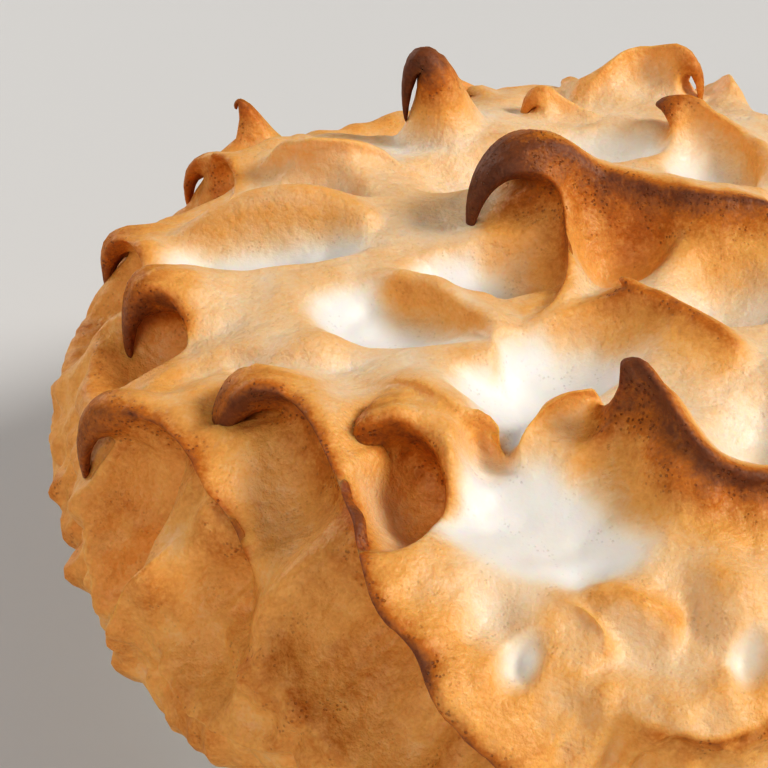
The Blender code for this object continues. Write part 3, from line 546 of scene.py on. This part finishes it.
def crest_pull(points, crest, scoops):
    """The shift of each point by a crest, and how much the crest browns it, with the
    darkening of its front, which is browning and painted shade under the lip. The section is
    averaged over a few places across the lip, which rounds the lip."""
    stops, front, back, lean, rounding, roll, top_toast, front_toast_and_shade = crest
    path = smooth_path(stops)
    line, normals = on_mound(path[:, :2])
    tall = np.maximum(path[:, 2] - ground(line, scoops)[0], 0)
    step = np.gradient(line, axis=0)
    pace = np.linalg.norm(step, axis=1)
    ahead = step / pace[:, None]
    aside = np.cross(normals, ahead)
    aside /= np.linalg.norm(aside, axis=1, keepdims=True)

    reach = max(front, back) + 2 * rounding
    low, high = line.min(axis=0) - reach, line.max(axis=0) + reach
    near = np.flatnonzero(((points > low) & (points < high)).all(axis=1))
    offsets = points[near, None, :] - line[None]
    nearest = (offsets**2).sum(axis=-1).argmin(axis=1)
    offset = offsets[np.arange(len(near)), nearest]
    run = (offset * ahead[nearest]).sum(axis=1)
    past_end = np.where(nearest == 0, -run, np.where(nearest == len(line) - 1, run, 0)).clip(0)
    side = np.where((offset * aside[nearest]).sum(axis=1) > 0, 1.0, -1.0)
    across = side * np.sqrt(np.maximum((offset**2).sum(axis=1) - run**2, 0))
    spot = np.clip(nearest + np.where(past_end > 0, 0, run / pace[nearest]), 0, len(line) - 1)
    height = np.interp(spot, np.arange(len(line)), tall)
    ending = 1 - smooth_step(past_end / (0.6 * min(front, back)))
    height = height * ending
    forth = np.zeros(len(near))
    rise = np.zeros(len(near))
    for shift in (-1.0, -0.5, 0.0, 0.5, 1.0):
        place = across + shift * rounding
        ahead_by, up_by = crest_section(place, height, lean * height, front, back, roll)
        forth += ending * (ahead_by - place) / 5
        rise += up_by / 5

    pull = np.zeros_like(points)
    pull[near] = rise[:, None] * normals[nearest] + forth[:, None] * aside[nearest]
    x = np.clip(np.abs(across) / np.where(side > 0, front, back), 0, 1)
    fade = np.clip(height / 6, 0, 1)
    spread = TOAST_SPREAD * rounding * np.where(side > 0, 1, BACK_SHARE)
    top = top_toast * np.exp(-((across / spread) ** 2))
    browned_and_shaded = np.zeros(len(points))
    # The front of a crest, down into the hollow under its lip, is darkened partly by browning and partly
    # as painted shade.
    browned_and_shaded[near] = fade * np.where(side > 0, np.maximum(top, front_toast_and_shade * (1 - x)), top)
    return pull, browned_and_shaded


# %% [markdown]
# ## Hooks
#
# Where the spoon left the foam it drew out a tip, which then fell over and curled. The skin
# inside a hook's foot is drawn along a cubic curve that rises, bends over and drops, and each
# ring of skin shrinks on its way to the tip. It is the same skin all the way, so a hook grows
# out of its crest with no seam.

# %% The hooks
# Each hook: x, y, the way it leans in degrees, the radius of its foot, its rise, its reach,
# how far it drops from its top, how stout it is, how broad it is across its lean, and how
# baked its tip is.
HOOKS = {
    "left shoulder": (-103, -20, 207, 10, 1, 9, 24, 0.3, 1.3, 0.75),
    "left arch": (-119, 17, 195, 9, 1, 7, 21, 0.5, 1.2, 0.7),
    "left loop": (-103, 57, 190, 9, 2, 8, 15, 0.5, 1.2, 0.6),
    "spike": (-94, 68, 195, 7, 14, 4, 0, 0.15, 1, 0.75),
    "horn": (-46, 66, 190, 12, 19, 9, 17, 0.5, 1, 1),
    "great hook": (-17, 20, 206, 14, 6, 19, 23, 0.5, 1.8, 0.95),
    "long crest": (-73, -63, 206, 11, 0, 12, 27, 0.35, 1.5, 0.75),
    "near curl": (-45, -73, 200, 9, 0, 8, 24, 0.25, 1.3, 0.75),
    "left lip": (-100, -62, 188, 11, 3, 13, 24, 0.4, 1.3, 0.7),
    "near peak": (6, -67, 130, 6, 2, 4, 0, 0.6, 1.2, 0.85),
    "far wave": (13, 98, 335, 7, 3, 8, 14, 0.5, 1.3, 0.5),
    "far loop": (-21, 80, 200, 6, 2, 6, 10, 0.5, 1.3, 0.45),
    "far fold": (16, 67, 152, 7, 0, 8, 2, 0.8, 1.2, 0.8),
    "tongue": (-23, -69, 40, 5, 0, 2, 1, 0.6, 1.2, 0.3),
    "crown wave": (4, -21, 189, 4, 1, 2, 0, 0.5, 1.2, 0.5),
    "far petal": (-14, 104, 123, 4, 1, 4, 1, 0.6, 1.2, 0.4),
    "small curl": (-38, 98, 190, 5, 1, 5, 6, 0.5, 1.2, 0.3),
    "back lip": (16, 127, 60, 10, 1, 9, 18, 0.5, 1.3, 0.7),
    "back rise": (44, 117, 120, 8, 1, 7, 10, 0.5, 1.2, 0.65),
}

# %% How a hook moves the skin
STRAND = 1.2  # the least radius of a hook, just short of its tip


def hook_pull(points, hook):
    """The shift of each point by a hook, and how far up the hook it lies, from 0 to 1."""
    x, y, lean_turn, foot, rise, reach, drop, stout, broad, _ = hook
    centre, normal, lean = frame_at(x, y, lean_turn)
    wide = np.cross(normal, lean)
    up = 0.3 * normal + np.array([0, 0, 0.7])
    up /= np.linalg.norm(up)
    level = lean - up * (lean @ up)
    level /= np.linalg.norm(level)
    offset = points - centre
    run = offset @ lean
    side = offset @ wide
    ring = np.hypot(run, side / np.sqrt(broad))
    near = np.flatnonzero((ring < foot) & (np.linalg.norm(offset, axis=1) < 1.6 * foot))
    run, side, ring = run[near], side[near], ring[near]

    inward = 1 - ring / foot
    t = smooth_step(inward)
    legs = [(0, 0), (-0.05 * reach, 1.3 * rise), (1.1 * reach, 1.4 * rise), (reach, rise - drop)]
    forth, lift = bezier(legs, t)
    slope = np.array([(1 - t) ** 2, 2 * t * (1 - t), t**2])
    heading = np.diff(legs, axis=0).T @ slope
    heading /= np.linalg.norm(heading, axis=0) + 1e-9

    bent = np.clip(4 * t, 0, 1)[:, None]
    tilted = heading[1][:, None] * level - heading[0][:, None] * up
    across = (1 - bent) * lean + bent * tilted
    across /= np.linalg.norm(across, axis=1, keepdims=True)
    girth = (foot - STRAND) * (1 - inward) ** (2 - stout) + STRAND * (1 - inward) ** 0.3
    shrink = girth / np.maximum(ring, 1e-9)
    drawn = (
        forth[:, None] * level
        + lift[:, None] * up
        + (run * shrink * (1 - 0.35 * bent[:, 0]))[:, None] * across
        + (side * shrink)[:, None] * wide
    )
    pull = np.zeros_like(points)
    pull[near] = drawn - run[:, None] * lean - side[:, None] * wide
    along = np.zeros(len(points))
    along[near] = inward
    return pull, along


# %% [markdown]
# ## The far flank
#
# Nothing is known of the side that lies out of view, but the same spoon made it. It repeats
# the left flank's hollows, crests and hooks, turned round the crown.

# %% Turned copies
COPY_TURN = 165.0
COPIED_SCOOPS = (
    "left pool", "left bowl", "under left shoulder", "under near curl", "under long crest",
    "under left lip", "left edge", "left edge, farther", "behind left roll", "near slope",
)
COPIED_CRESTS = (
    "left shoulder", "left arch edge", "left loop edge", "left roll", "long crest", "left lip",
    "far leaf", "far rise", "low lip", "low fold", "shoulder swell",
)
COPIED_HOOKS = ("left shoulder", "left arch", "left loop", "spike", "long crest", "left lip")


def turned(x, y, degrees):
    """A spot of the map turned about the crown."""
    angle = np.radians(degrees)
    return x * np.cos(angle) - y * np.sin(angle), x * np.sin(angle) + y * np.cos(angle)


def all_features():
    """The scoops, crests and hooks, with the turned copies on the far flank."""
    scoops = list(SCOOPS.values())
    for name in COPIED_SCOOPS:
        x, y, turn, *sizes = SCOOPS[name]
        scoops.append((*turned(x, y, COPY_TURN), turn + COPY_TURN, *sizes))
    crests = list(CRESTS.values())
    for name in COPIED_CRESTS:
        stops, *sizes = CRESTS[name]
        crests.append(([(*turned(x, y, COPY_TURN), height) for x, y, height in stops], *sizes))
    hooks = list(HOOKS.values())
    for name in COPIED_HOOKS:
        x, y, lean, *sizes = HOOKS[name]
        hooks.append((*turned(x, y, COPY_TURN), lean + COPY_TURN, *sizes))
    return scoops, crests, hooks

# %% [markdown]
# ## One skin
#
# The skin is one square sheet carried onto the round map, so it has no pole where lines crowd
# together. Lines are drawn closer under the hooks and along the crests, where the skin is
# stretched most. Every pull is added to the mound, and the skin then relaxes a little.

# %% The map's grid
def round_map(lines):
    """The spots of a square grid carried onto the round map, square rings becoming circles."""
    ticks = np.linspace(-1, 1, lines)
    x, y = np.meshgrid(ticks, ticks)
    ring = np.maximum(np.abs(x), np.abs(y))
    wide = np.abs(x) >= np.abs(y)
    long_side = np.where(wide, x, y)
    short_side = np.where(wide, y, x)
    slant = np.pi / 4 * short_side / np.where(long_side == 0, 1, long_side)
    angle = np.where(wide, slant, np.pi / 2 - slant) + np.where(long_side < 0, np.pi, 0)
    return np.column_stack([(ring * np.cos(angle)).ravel(), (ring * np.sin(angle)).ravel()]) * SKIN_REACH


GATHER_REACH = 9.0  # how far from a crest's path the lines are drawn closer


def gathered(spots, crests, hooks):
    """The same spots drawn towards the nearest crest's path and towards each hook's middle."""
    for stops, *_ in crests:
        path = smooth_path(stops, 2.0)[:, :2]
        low, high = path.min(axis=0) - GATHER_REACH, path.max(axis=0) + GATHER_REACH
        near = np.flatnonzero(((spots > low) & (spots < high)).all(axis=1))
        offsets = spots[near, None, :] - path[None]
        nearest = (offsets**2).sum(axis=-1).argmin(axis=1)
        offset = offsets[np.arange(len(near)), nearest]
        closeness = np.clip(1 - np.linalg.norm(offset, axis=1) / GATHER_REACH, 0, 1)
        spots[near] -= offset * (0.35 * closeness**1.5)[:, None]
    for x, y, _, foot, *_ in hooks:
        offset = spots - (x, y)
        closeness = np.clip(1 - np.linalg.norm(offset, axis=1) / (1.3 * foot), 0, 1)
        spots = spots - offset * (0.45 * closeness**1.5)[:, None]
    return spots


# %% Grid helpers
def relaxed(grid, rounds):
    """Each inner point moved half way to the middle of its four neighbours, this many times."""
    for _ in range(rounds):
        middle = (grid[:-2, 1:-1] + grid[2:, 1:-1] + grid[1:-1, :-2] + grid[1:-1, 2:]) / 4
        grid = grid.copy()
        grid[1:-1, 1:-1] += 0.5 * (middle - grid[1:-1, 1:-1])
    return grid


def grid_normals(grid):
    """Unit normals of a grid of points, from the cross product of its two directions."""
    normals = np.cross(np.gradient(grid, axis=1), np.gradient(grid, axis=0))
    return normals / np.maximum(np.linalg.norm(normals, axis=-1, keepdims=True), 1e-9)


def blurred(grid, radius):
    """The mean over a square window of this radius, done along each direction in turn."""
    for axis in (0, 1):
        padding = [(radius + 1, radius) if axis == a else (0, 0) for a in range(grid.ndim)]
        total = np.cumsum(np.pad(grid, padding, mode="edge"), axis=axis)
        size = grid.shape[axis]
        window = 2 * radius + 1
        high = np.take(total, range(window, window + size), axis=axis)
        low = np.take(total, range(size), axis=axis)
        grid = (high - low) / window
    return grid


# %% Pull the skin
SKIN_LINES = 304
HEM = 18.0  # the skin's last stretch, over which every pull fades out


def meringue_skin(lines):
    """The skin as a grid of points, with the crests' and hooks' toast (the crests' fronts
    carry painted shade too), how far each point was raised, its distance from the crown and
    the depth of the scoops. The skin inside a hook moves more and more like the hook's middle,
    which keeps the hook slender on a sharp crest."""
    scoops, crests, hooks = all_features()
    spots = gathered(round_map(lines), crests, hooks)
    middles = np.array([hook[:2] for hook in hooks])
    points, normals = on_mound(np.vstack([spots, middles]))
    reach = np.linalg.norm(np.vstack([spots, middles]), axis=1)
    inside = smooth_step((SKIN_REACH - reach) / HEM)
    height, white = ground(points, scoops)
    pull = np.zeros_like(points)
    share = np.full(len(points), 1e-9)
    toast_and_shade = np.zeros(len(points))
    for crest in crests:
        shift, browned_and_shaded = crest_pull(points, crest, scoops)
        strength = (shift**2).sum(axis=1)
        pull += strength[:, None] * shift
        share += strength
        toast_and_shade = np.maximum(toast_and_shade, browned_and_shaded)
    pull = inside[:, None] * (height[:, None] * normals + pull / share[:, None])
    middle_pulls = pull[-len(hooks):].copy()
    for hook, middle_pull in zip(hooks, middle_pulls):
        shift, along = hook_pull(points, hook)
        rigid = smooth_step(1.4 * along)[:, None]
        pull += rigid * (middle_pull - pull) + shift
        toast_and_shade = np.maximum(toast_and_shade, hook[-1] * smooth_step(along * 1.6))
    rise = (pull * normals).sum(axis=1)
    count = lines**2
    grid = relaxed((points + pull)[:count].reshape(lines, lines, 3), 1)
    return grid, toast_and_shade[:count], white[:count], rise[:count], reach[:count]


skin, toast_and_shade, white, rise, reach = meringue_skin(SKIN_LINES)
print(f"the skin has {SKIN_LINES**2} points, up to {skin[..., 2].max():.1f} mm high")

# %% [markdown]
# ## How far each spot is baked
#
# Heat reaches what stands proud first. A point's exposure is how far it stands above the mean
# of the skin round it, taken over a small and a large neighbourhood. Crests and hook tips are
# browned most, slopes are tan, the steep flank is golden all over, and sheltered hollows on the
# top stay white. The flank's left side is painted darker as shade, and on the flank the large
# hollows are painted darker as shade and the swells lighter as painted light. The fronts of the
# leaning crests are darker under their lips, partly browning and partly painted shade. The
# result is one number a point, which the material turns into colour.

# %% Browning of the skin
def browning_and_painted_shade(skin, toast_and_shade, white, rise, reach):
    """0 is unbaked white and 1 is nearly black: a tan level, more on the flank, plus the
    exposure, at least the crests' own toast, and nearly nothing in the white pools. Painted
    shade is added too: the flank's left side is darker, the flank's hollows darker and its
    swells lighter, and the crests' fronts darker under their lips."""
    lines = skin.shape[0]
    normals = grid_normals(skin)
    points = skin.reshape(-1, 3)
    fine = ((skin - blurred(skin, 4)) * normals).sum(axis=-1).ravel()
    broad = ((skin - blurred(skin, 14)) * normals).sum(axis=-1).ravel()
    flank = smooth_step((reach - 85) / 40)
    # The flank is painted darker on its left side, away from the key lamp: painted shade.
    shaded_left_side = smooth_step((30 - points[:, 0]) / 90)
    level = 0.31 + (0.12 + 0.07 * shaded_left_side) * flank + 0.04 * np.clip(fine, -2, 2)
    # On the top this browns the swells and keeps the hollows pale. On the flank it is reversed: painted
    # shade darkens the large hollows and painted light makes the swells lighter.
    level += 0.009 * (1 - 2 * flank) * np.clip(broad, -6, 6)
    level += 0.02 * ripple(points, 30, 11) + 0.015 * ripple(points, 11, 12)
    toasted = smooth_step(toast_and_shade * 8)
    level += (np.maximum(level, 0.30 + 0.65 * toast_and_shade) - level) * toasted
    pool = white * smooth_step((9 - rise) / 8) * (1 - smooth_step(toast_and_shade * 6))
    level = level * (1 - pool) + 0.01 * pool
    even = blurred(np.stack([level, pool], axis=-1).reshape(lines, lines, 2), 1).reshape(-1, 2)
    return np.clip(even[:, 0], 0, 1), even[:, 1]


# The baked number holds the browning and the painted shade.
baked, pool = browning_and_painted_shade(skin, toast_and_shade, white, rise, reach)
print(f"baking runs from {baked.min():.2f} to {baked.max():.2f} with mean {baked.mean():.2f}")

# %% [markdown]
# ## Making a mesh
#
# A sheet of points becomes a mesh by joining each point to its right and lower neighbours.
# The faces are worked out as arrays and handed over in one go with foreach_set, which is far
# quicker than a list of tuples.

# %% Mesh from arrays
def add_piece(name, points, quads, values=None):
    """A smooth object from points in millimetres and four-cornered faces, with one named
    number at each point for each entry of values."""
    mesh = bpy.data.meshes.new(name)
    mesh.vertices.add(len(points))
    mesh.vertices.foreach_set("co", (points * MM).astype(np.float32).ravel())
    mesh.loops.add(quads.size)
    mesh.loops.foreach_set("vertex_index", quads.astype(np.int32).ravel())
    mesh.polygons.add(len(quads))
    mesh.polygons.foreach_set("loop_start", np.arange(0, quads.size, quads.shape[1], dtype=np.int32))
    mesh.update(calc_edges=True)
    mesh.polygons.foreach_set("use_smooth", np.ones(len(quads), bool))
    for label, column in (values or {}).items():
        layer = mesh.attributes.new(label, "FLOAT", "POINT")
        layer.data.foreach_set("value", np.asarray(column, np.float32))
    mesh.validate()
    piece = bpy.data.objects.new(name, mesh)
    bpy.context.scene.collection.objects.link(piece)
    print(name, "has", len(points), "points and", 2 * len(quads), "triangles at most")
    return piece


# %% The meringue
# Each ring of the underside: its share of the skin's edge, and its height.
UNDERSIDE = [(0.985, 48.0), (0.905, 47.2), (0.88, 44.4)]


def make_meringue():
    """The skin, closed by rings that follow its edge in under the overhang to a flat base."""
    lines = skin.shape[0]
    index = np.arange(lines**2).reshape(lines, lines)
    cells = np.stack([index[:-1, :-1], index[:-1, 1:], index[1:, 1:], index[1:, :-1]], axis=-1)
    edge = np.concatenate([index[0, :-1], index[:-1, -1], index[-1, :0:-1], index[:0:-1, 0]])
    points = skin.reshape(-1, 3)
    rings = [points]
    faces = [cells.reshape(-1, 4)]
    last = edge
    start = len(points)
    for share, height in UNDERSIDE:
        ring = points[edge] * (share, share, 0) + (0, 0, height)
        rings.append(ring)
        fresh = np.arange(start, start + len(edge))
        faces.append(np.stack([last, fresh, np.roll(fresh, -1), np.roll(last, -1)], axis=-1))
        last = fresh
        start += len(edge)
    half = len(edge) // 2
    left = last[np.arange(0, half)]
    right = last[(-np.arange(0, half)) % len(edge)]
    faces.append(np.stack([left[:-1], right[:-1], right[1:], left[1:]], axis=-1)[1:])
    hidden = start - lines**2
    # The baked number also carries painted shade: the flank's left side, its hollows and the crests'
    # fronts.
    values = {"baked": np.append(baked, np.full(hidden, 0.3)), "pool": np.append(pool, np.zeros(hidden))}
    return add_piece("meringue_crests", np.vstack(rings), np.vstack(faces), values)


meringue = make_meringue()

# %% [markdown]
# ## A short way to write shader maths
#
# A node tree for a formula with ten terms is hard to read. This class wraps a socket, so that
# a sum or product of sockets and numbers is written as in Python and adds its own Math nodes.

# %% Shader maths
class Wire:
    """A number that comes out of a node, with the operators that the finishes use."""

    def __init__(self, shop, socket):
        self.shop = shop
        self.socket = socket

    def _math(self, operation, first, second):
        return self.shop.node("ShaderNodeMath", {"operation": operation}, {0: first, 1: second})

    def __add__(self, other):
        return self._math("ADD", self, other)

    def __sub__(self, other):
        return self._math("SUBTRACT", self, other)

    def __rsub__(self, other):
        return self._math("SUBTRACT", other, self)

    def __mul__(self, other):
        return self._math("MULTIPLY", self, other)

    __radd__ = __add__
    __rmul__ = __mul__


class Finish:
    """A material under construction. node() adds any node: its settings are set first, then
    each of its sockets gets a number, a colour or the wire that feeds it."""

    def __init__(self, name):
        self.material = bpy.data.materials.new(name)
        self.material.use_nodes = True
        self.tree = self.material.node_tree
        self.shader = self.tree.nodes["Principled BSDF"]

    def node(self, kind, settings=None, sockets=None, out=0):
        made = self.tree.nodes.new(kind)
        for name, value in (settings or {}).items():
            if name == "stops":
                ramp = made.color_ramp
                while len(ramp.elements) < len(value):
                    ramp.elements.new(0.5)
                for element, (place, colour) in zip(ramp.elements, value):
                    element.position = place
                    element.color = (*colour, 1)
            else:
                setattr(made, name, value)
        for name, value in (sockets or {}).items():
            self.feed(made.inputs[name], value)
        return Wire(self, made.outputs[out])

    def feed(self, socket, value):
        if isinstance(value, Wire):
            self.tree.links.new(value.socket, socket)
        else:
            socket.default_value = value

    def step(self, value, low, high):
        """0 at low, 1 at high, smooth between."""
        return self.node(
            "ShaderNodeMapRange",
            {"interpolation_type": "SMOOTHSTEP"},
            {"Value": value, "From Min": low, "From Max": high},
        )

    def mix(self, factor, first, second):
        """A colour between two colours."""
        return self.node(
            "ShaderNodeMix", {"data_type": "RGBA"}, {0: factor, 6: first, 7: second}, out=2
        )

    def set(self, **sockets):
        for name, value in sockets.items():
            self.feed(self.shader.inputs[name.replace("_", " ")], value)


# %% [markdown]
# ## Baked meringue
#
# Sugar foam is white all through. Baking turns its skin cream, tan, golden brown and at last
# nearly black. The baked number from the mesh picks the colour; it also carries the painted
# shade of the flank and of the crests' fronts. Noise at three sizes breaks it up, because foam
# browns in freckles. Burst bubbles leave pits, more of them where it is brown, and each pit is
# painted dark, partly its browned wall and partly painted shade inside the hole. The foam glows
# a little where it is thin, so light scatters under its skin.

# %% Meringue material
def meringue_finish():
    """Colour from the baked number plus freckles and dark pits, partly painted shade; pits and fine
    grain as bump.
    """
    f = Finish("baked meringue")
    place = f.node("ShaderNodeTexCoord", out=3)
    baked_and_shaded_level = f.node("ShaderNodeAttribute", {"attribute_name": "baked"}, out=2)
    pool_level = f.node("ShaderNodeAttribute", {"attribute_name": "pool"}, out=2)

    def noise(scale, detail=3.0, rough=0.55):
        sockets = {"Vector": place, "Scale": scale, "Detail": detail, "Roughness": rough}
        return f.node("ShaderNodeTexNoise", {}, sockets)

    clouds = noise(55.0)
    freckles = noise(260.0)
    grain = noise(1100.0, 2.0)
    brown = f.step(baked_and_shaded_level, 0.45, 0.65)
    specks = (freckles - 0.5) * 0.12 + (grain - 0.5) * 0.10
    uneven = (clouds - 0.5) * 0.07 + specks * (1 + 0.9 * brown)
    level = baked_and_shaded_level + uneven * (1.15 - pool_level)

    pits = f.node("ShaderNodeTexVoronoi", {}, {"Vector": place, "Scale": 900.0, "Randomness": 1.0})
    chosen = f.step(noise(150.0) + brown * 0.06, 0.5, 0.66) * (0.2 + brown * 0.8)
    pit = (1 - f.step(pits, 0.16, 0.34)) * chosen

    colour = f.node(
        "ShaderNodeValToRGB",
        {
            "stops": [
                (0.00, (0.88, 0.87, 0.85)),
                (0.13, (0.91, 0.82, 0.69)),
                (0.30, (0.91, 0.65, 0.39)),
                (0.46, (0.86, 0.455, 0.135)),
                (0.62, (0.57, 0.20, 0.022)),
                (0.80, (0.25, 0.085, 0.026)),
                (1.00, (0.12, 0.04, 0.018)),
            ]
        },
        {"Fac": level},
    )
    # Pits are painted dark: partly the browned wall of a burst bubble, partly painted shade inside the
    # small hole.
    darker = f.mix(pit * 0.65, colour, (0.20, 0.08, 0.03, 1))
    roughness = 0.48 + brown * 0.08 + (freckles - 0.5) * 0.3
    lumps = noise(140.0, 2.0)
    crinkle = noise(620.0, 3.0, 0.6)
    height = (clouds - 0.5) * 1.1 + (lumps - 0.5) * 1.0 + (freckles - 0.5) * 0.9
    height = height + (crinkle - 0.5) * (0.4 - brown * 0.25) + (grain - 0.5) * 0.16
    height = height * (1.1 - pool_level) - pit * 0.45
    bump = f.node("ShaderNodeBump", {}, {"Strength": 0.8, "Distance": 0.001, "Height": height})
    f.set(Base_Color=darker, Roughness=roughness, Normal=bump)
    f.set(Specular_IOR_Level=0.45)
    f.set(Subsurface_Weight=0.35, Subsurface_Radius=(1.0, 0.45, 0.18), Subsurface_Scale=0.004)
    return f.material


meringue.data.materials.append(meringue_finish())
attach(meringue, "root")
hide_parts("meringue")

# %% [markdown]
# ## The crust
#
# A baker crimps the rim of the pastry with a thumb, which leaves even flutes like a thick
# rope. The rim is a profile swept round the pie, and a cosine of the angle moves it in and
# out, and up and down. No two flutes are pinched alike, so a slow ripple is added to each.

# %% Crust shape
FLUTES = 30
FLUTE_DEPTH = 1.7
# Each stop: radius, height and its share of the flutes' depth.
CRUST_PROFILE = [
    (0, 4.8, 0),
    (79.5, 4.8, 0),
    (97.8, 34.3, 0),
    (101.6, 38.3, 0),
    (106.0, 38.4, 0),
    (108.3, 39.6, 0.8),
    (109.2, 41.6, 1.0),
    (108.6, 43.8, 1.0),
    (106.6, 45.6, 0.9),
    (104.0, 46.0, 0.7),
    (101.8, 45.3, 0.3),
    (100.0, 44.0, 0),
    (60.0, 44.0, 0),
    (0, 44.0, 0),
]
CRIMP = slice(3, 12)  # the stops that a smooth curve runs through


def swept(profile, steps, wave=None):
    """Rings of points from a profile of (radius, height, share), and the quads that join them."""
    angle = np.arange(steps) * 2 * np.pi / steps
    rings = []
    for radius, height, share in profile:
        out = 0 if wave is None else wave(angle, share)
        up = 0 if wave is None else -0.5 * out
        wide = radius + out
        level = height + up + 0 * angle
        rings.append(np.column_stack([wide * np.cos(angle), wide * np.sin(angle), level]))
    count = len(profile)
    index = np.arange(count * steps).reshape(count, steps)
    around = np.roll(index, -1, axis=1)
    quads = np.stack([index[:-1], around[:-1], around[1:], index[1:]], axis=-1).reshape(-1, 4)
    return np.vstack(rings), quads


def flutes(angle, share):
    """The push of the flutes, unequal from one to the next."""
    uneven = 1 + 0.22 * np.cos(5 * angle + 1) + 0.15 * np.cos(11 * angle)
    return FLUTE_DEPTH * share * uneven * np.cos(FLUTES * angle + 0.35 * np.sin(7 * angle))


crimped = through(CRUST_PROFILE[CRIMP], 4)
crust_profile = np.vstack([CRUST_PROFILE[: CRIMP.start], crimped, CRUST_PROFILE[CRIMP.stop :]])
points, quads = swept(crust_profile, 600, flutes)
crust = add_piece("crimped_crust", points, quads)
f = Finish("baked pastry")
place = f.node("ShaderNodeTexCoord", out=3)
mottle = f.node("ShaderNodeTexNoise", {}, {"Vector": place, "Scale": 160.0, "Detail": 4.0})
colour = f.mix(mottle, (0.62, 0.33, 0.12, 1), (0.36, 0.15, 0.045, 1))
f.set(Base_Color=colour, Roughness=0.6)
crust.data.materials.append(f.material)
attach(crust, "root")
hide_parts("crust")

# %% [markdown]
# ## The dish
#
# The dish is turned, so it is a profile spun round: a flat base with a small foot, a sloping
# side, and a flat rim that carries the crust. Nothing of it shows from above, so it is plain.

# %% Dish
DISH_PROFILE = [
    (0, 0, 0), (80.0, 0, 0), (83.0, 0.5, 0), (84.6, 2.6, 0), (86.2, 5.5, 0), (101.4, 30.6, 0),
    (103.6, 33.2, 0), (106, 33.9, 0), (110, 34.1, 0), (111.8, 35.2, 0), (112, 36.4, 0),
    (111.2, 37.6, 0), (109.6, 38.0, 0), (102.2, 38.0, 0), (98.9, 34.2, 0), (80.8, 4.5, 0), (0, 4.5, 0),
]
points, quads = swept(DISH_PROFILE, 256)
dish = add_piece("glazed_dish", points, quads)
f = Finish("dish glaze")
f.set(Base_Color=(0.80, 0.77, 0.70, 1), Roughness=0.18)
dish.data.materials.append(f.material)
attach(dish, "root")
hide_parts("dish")

# %% [markdown]
# ## The table
#
# A pale plain floor takes the pie's shadow.

# %% Floor
floor_mesh = bpy.data.meshes.new("floor")
floor_mesh.from_pydata([(-3, -3, 0), (3, -3, 0), (3, 3, 0), (-3, 3, 0)], [], [(0, 1, 2, 3)])
floor = bpy.data.objects.new("floor", floor_mesh)
bpy.context.scene.collection.objects.link(floor)
f = Finish("pale floor")
f.set(Base_Color=(0.72, 0.72, 0.71, 1), Roughness=0.7)
floor.data.materials.append(f.material)
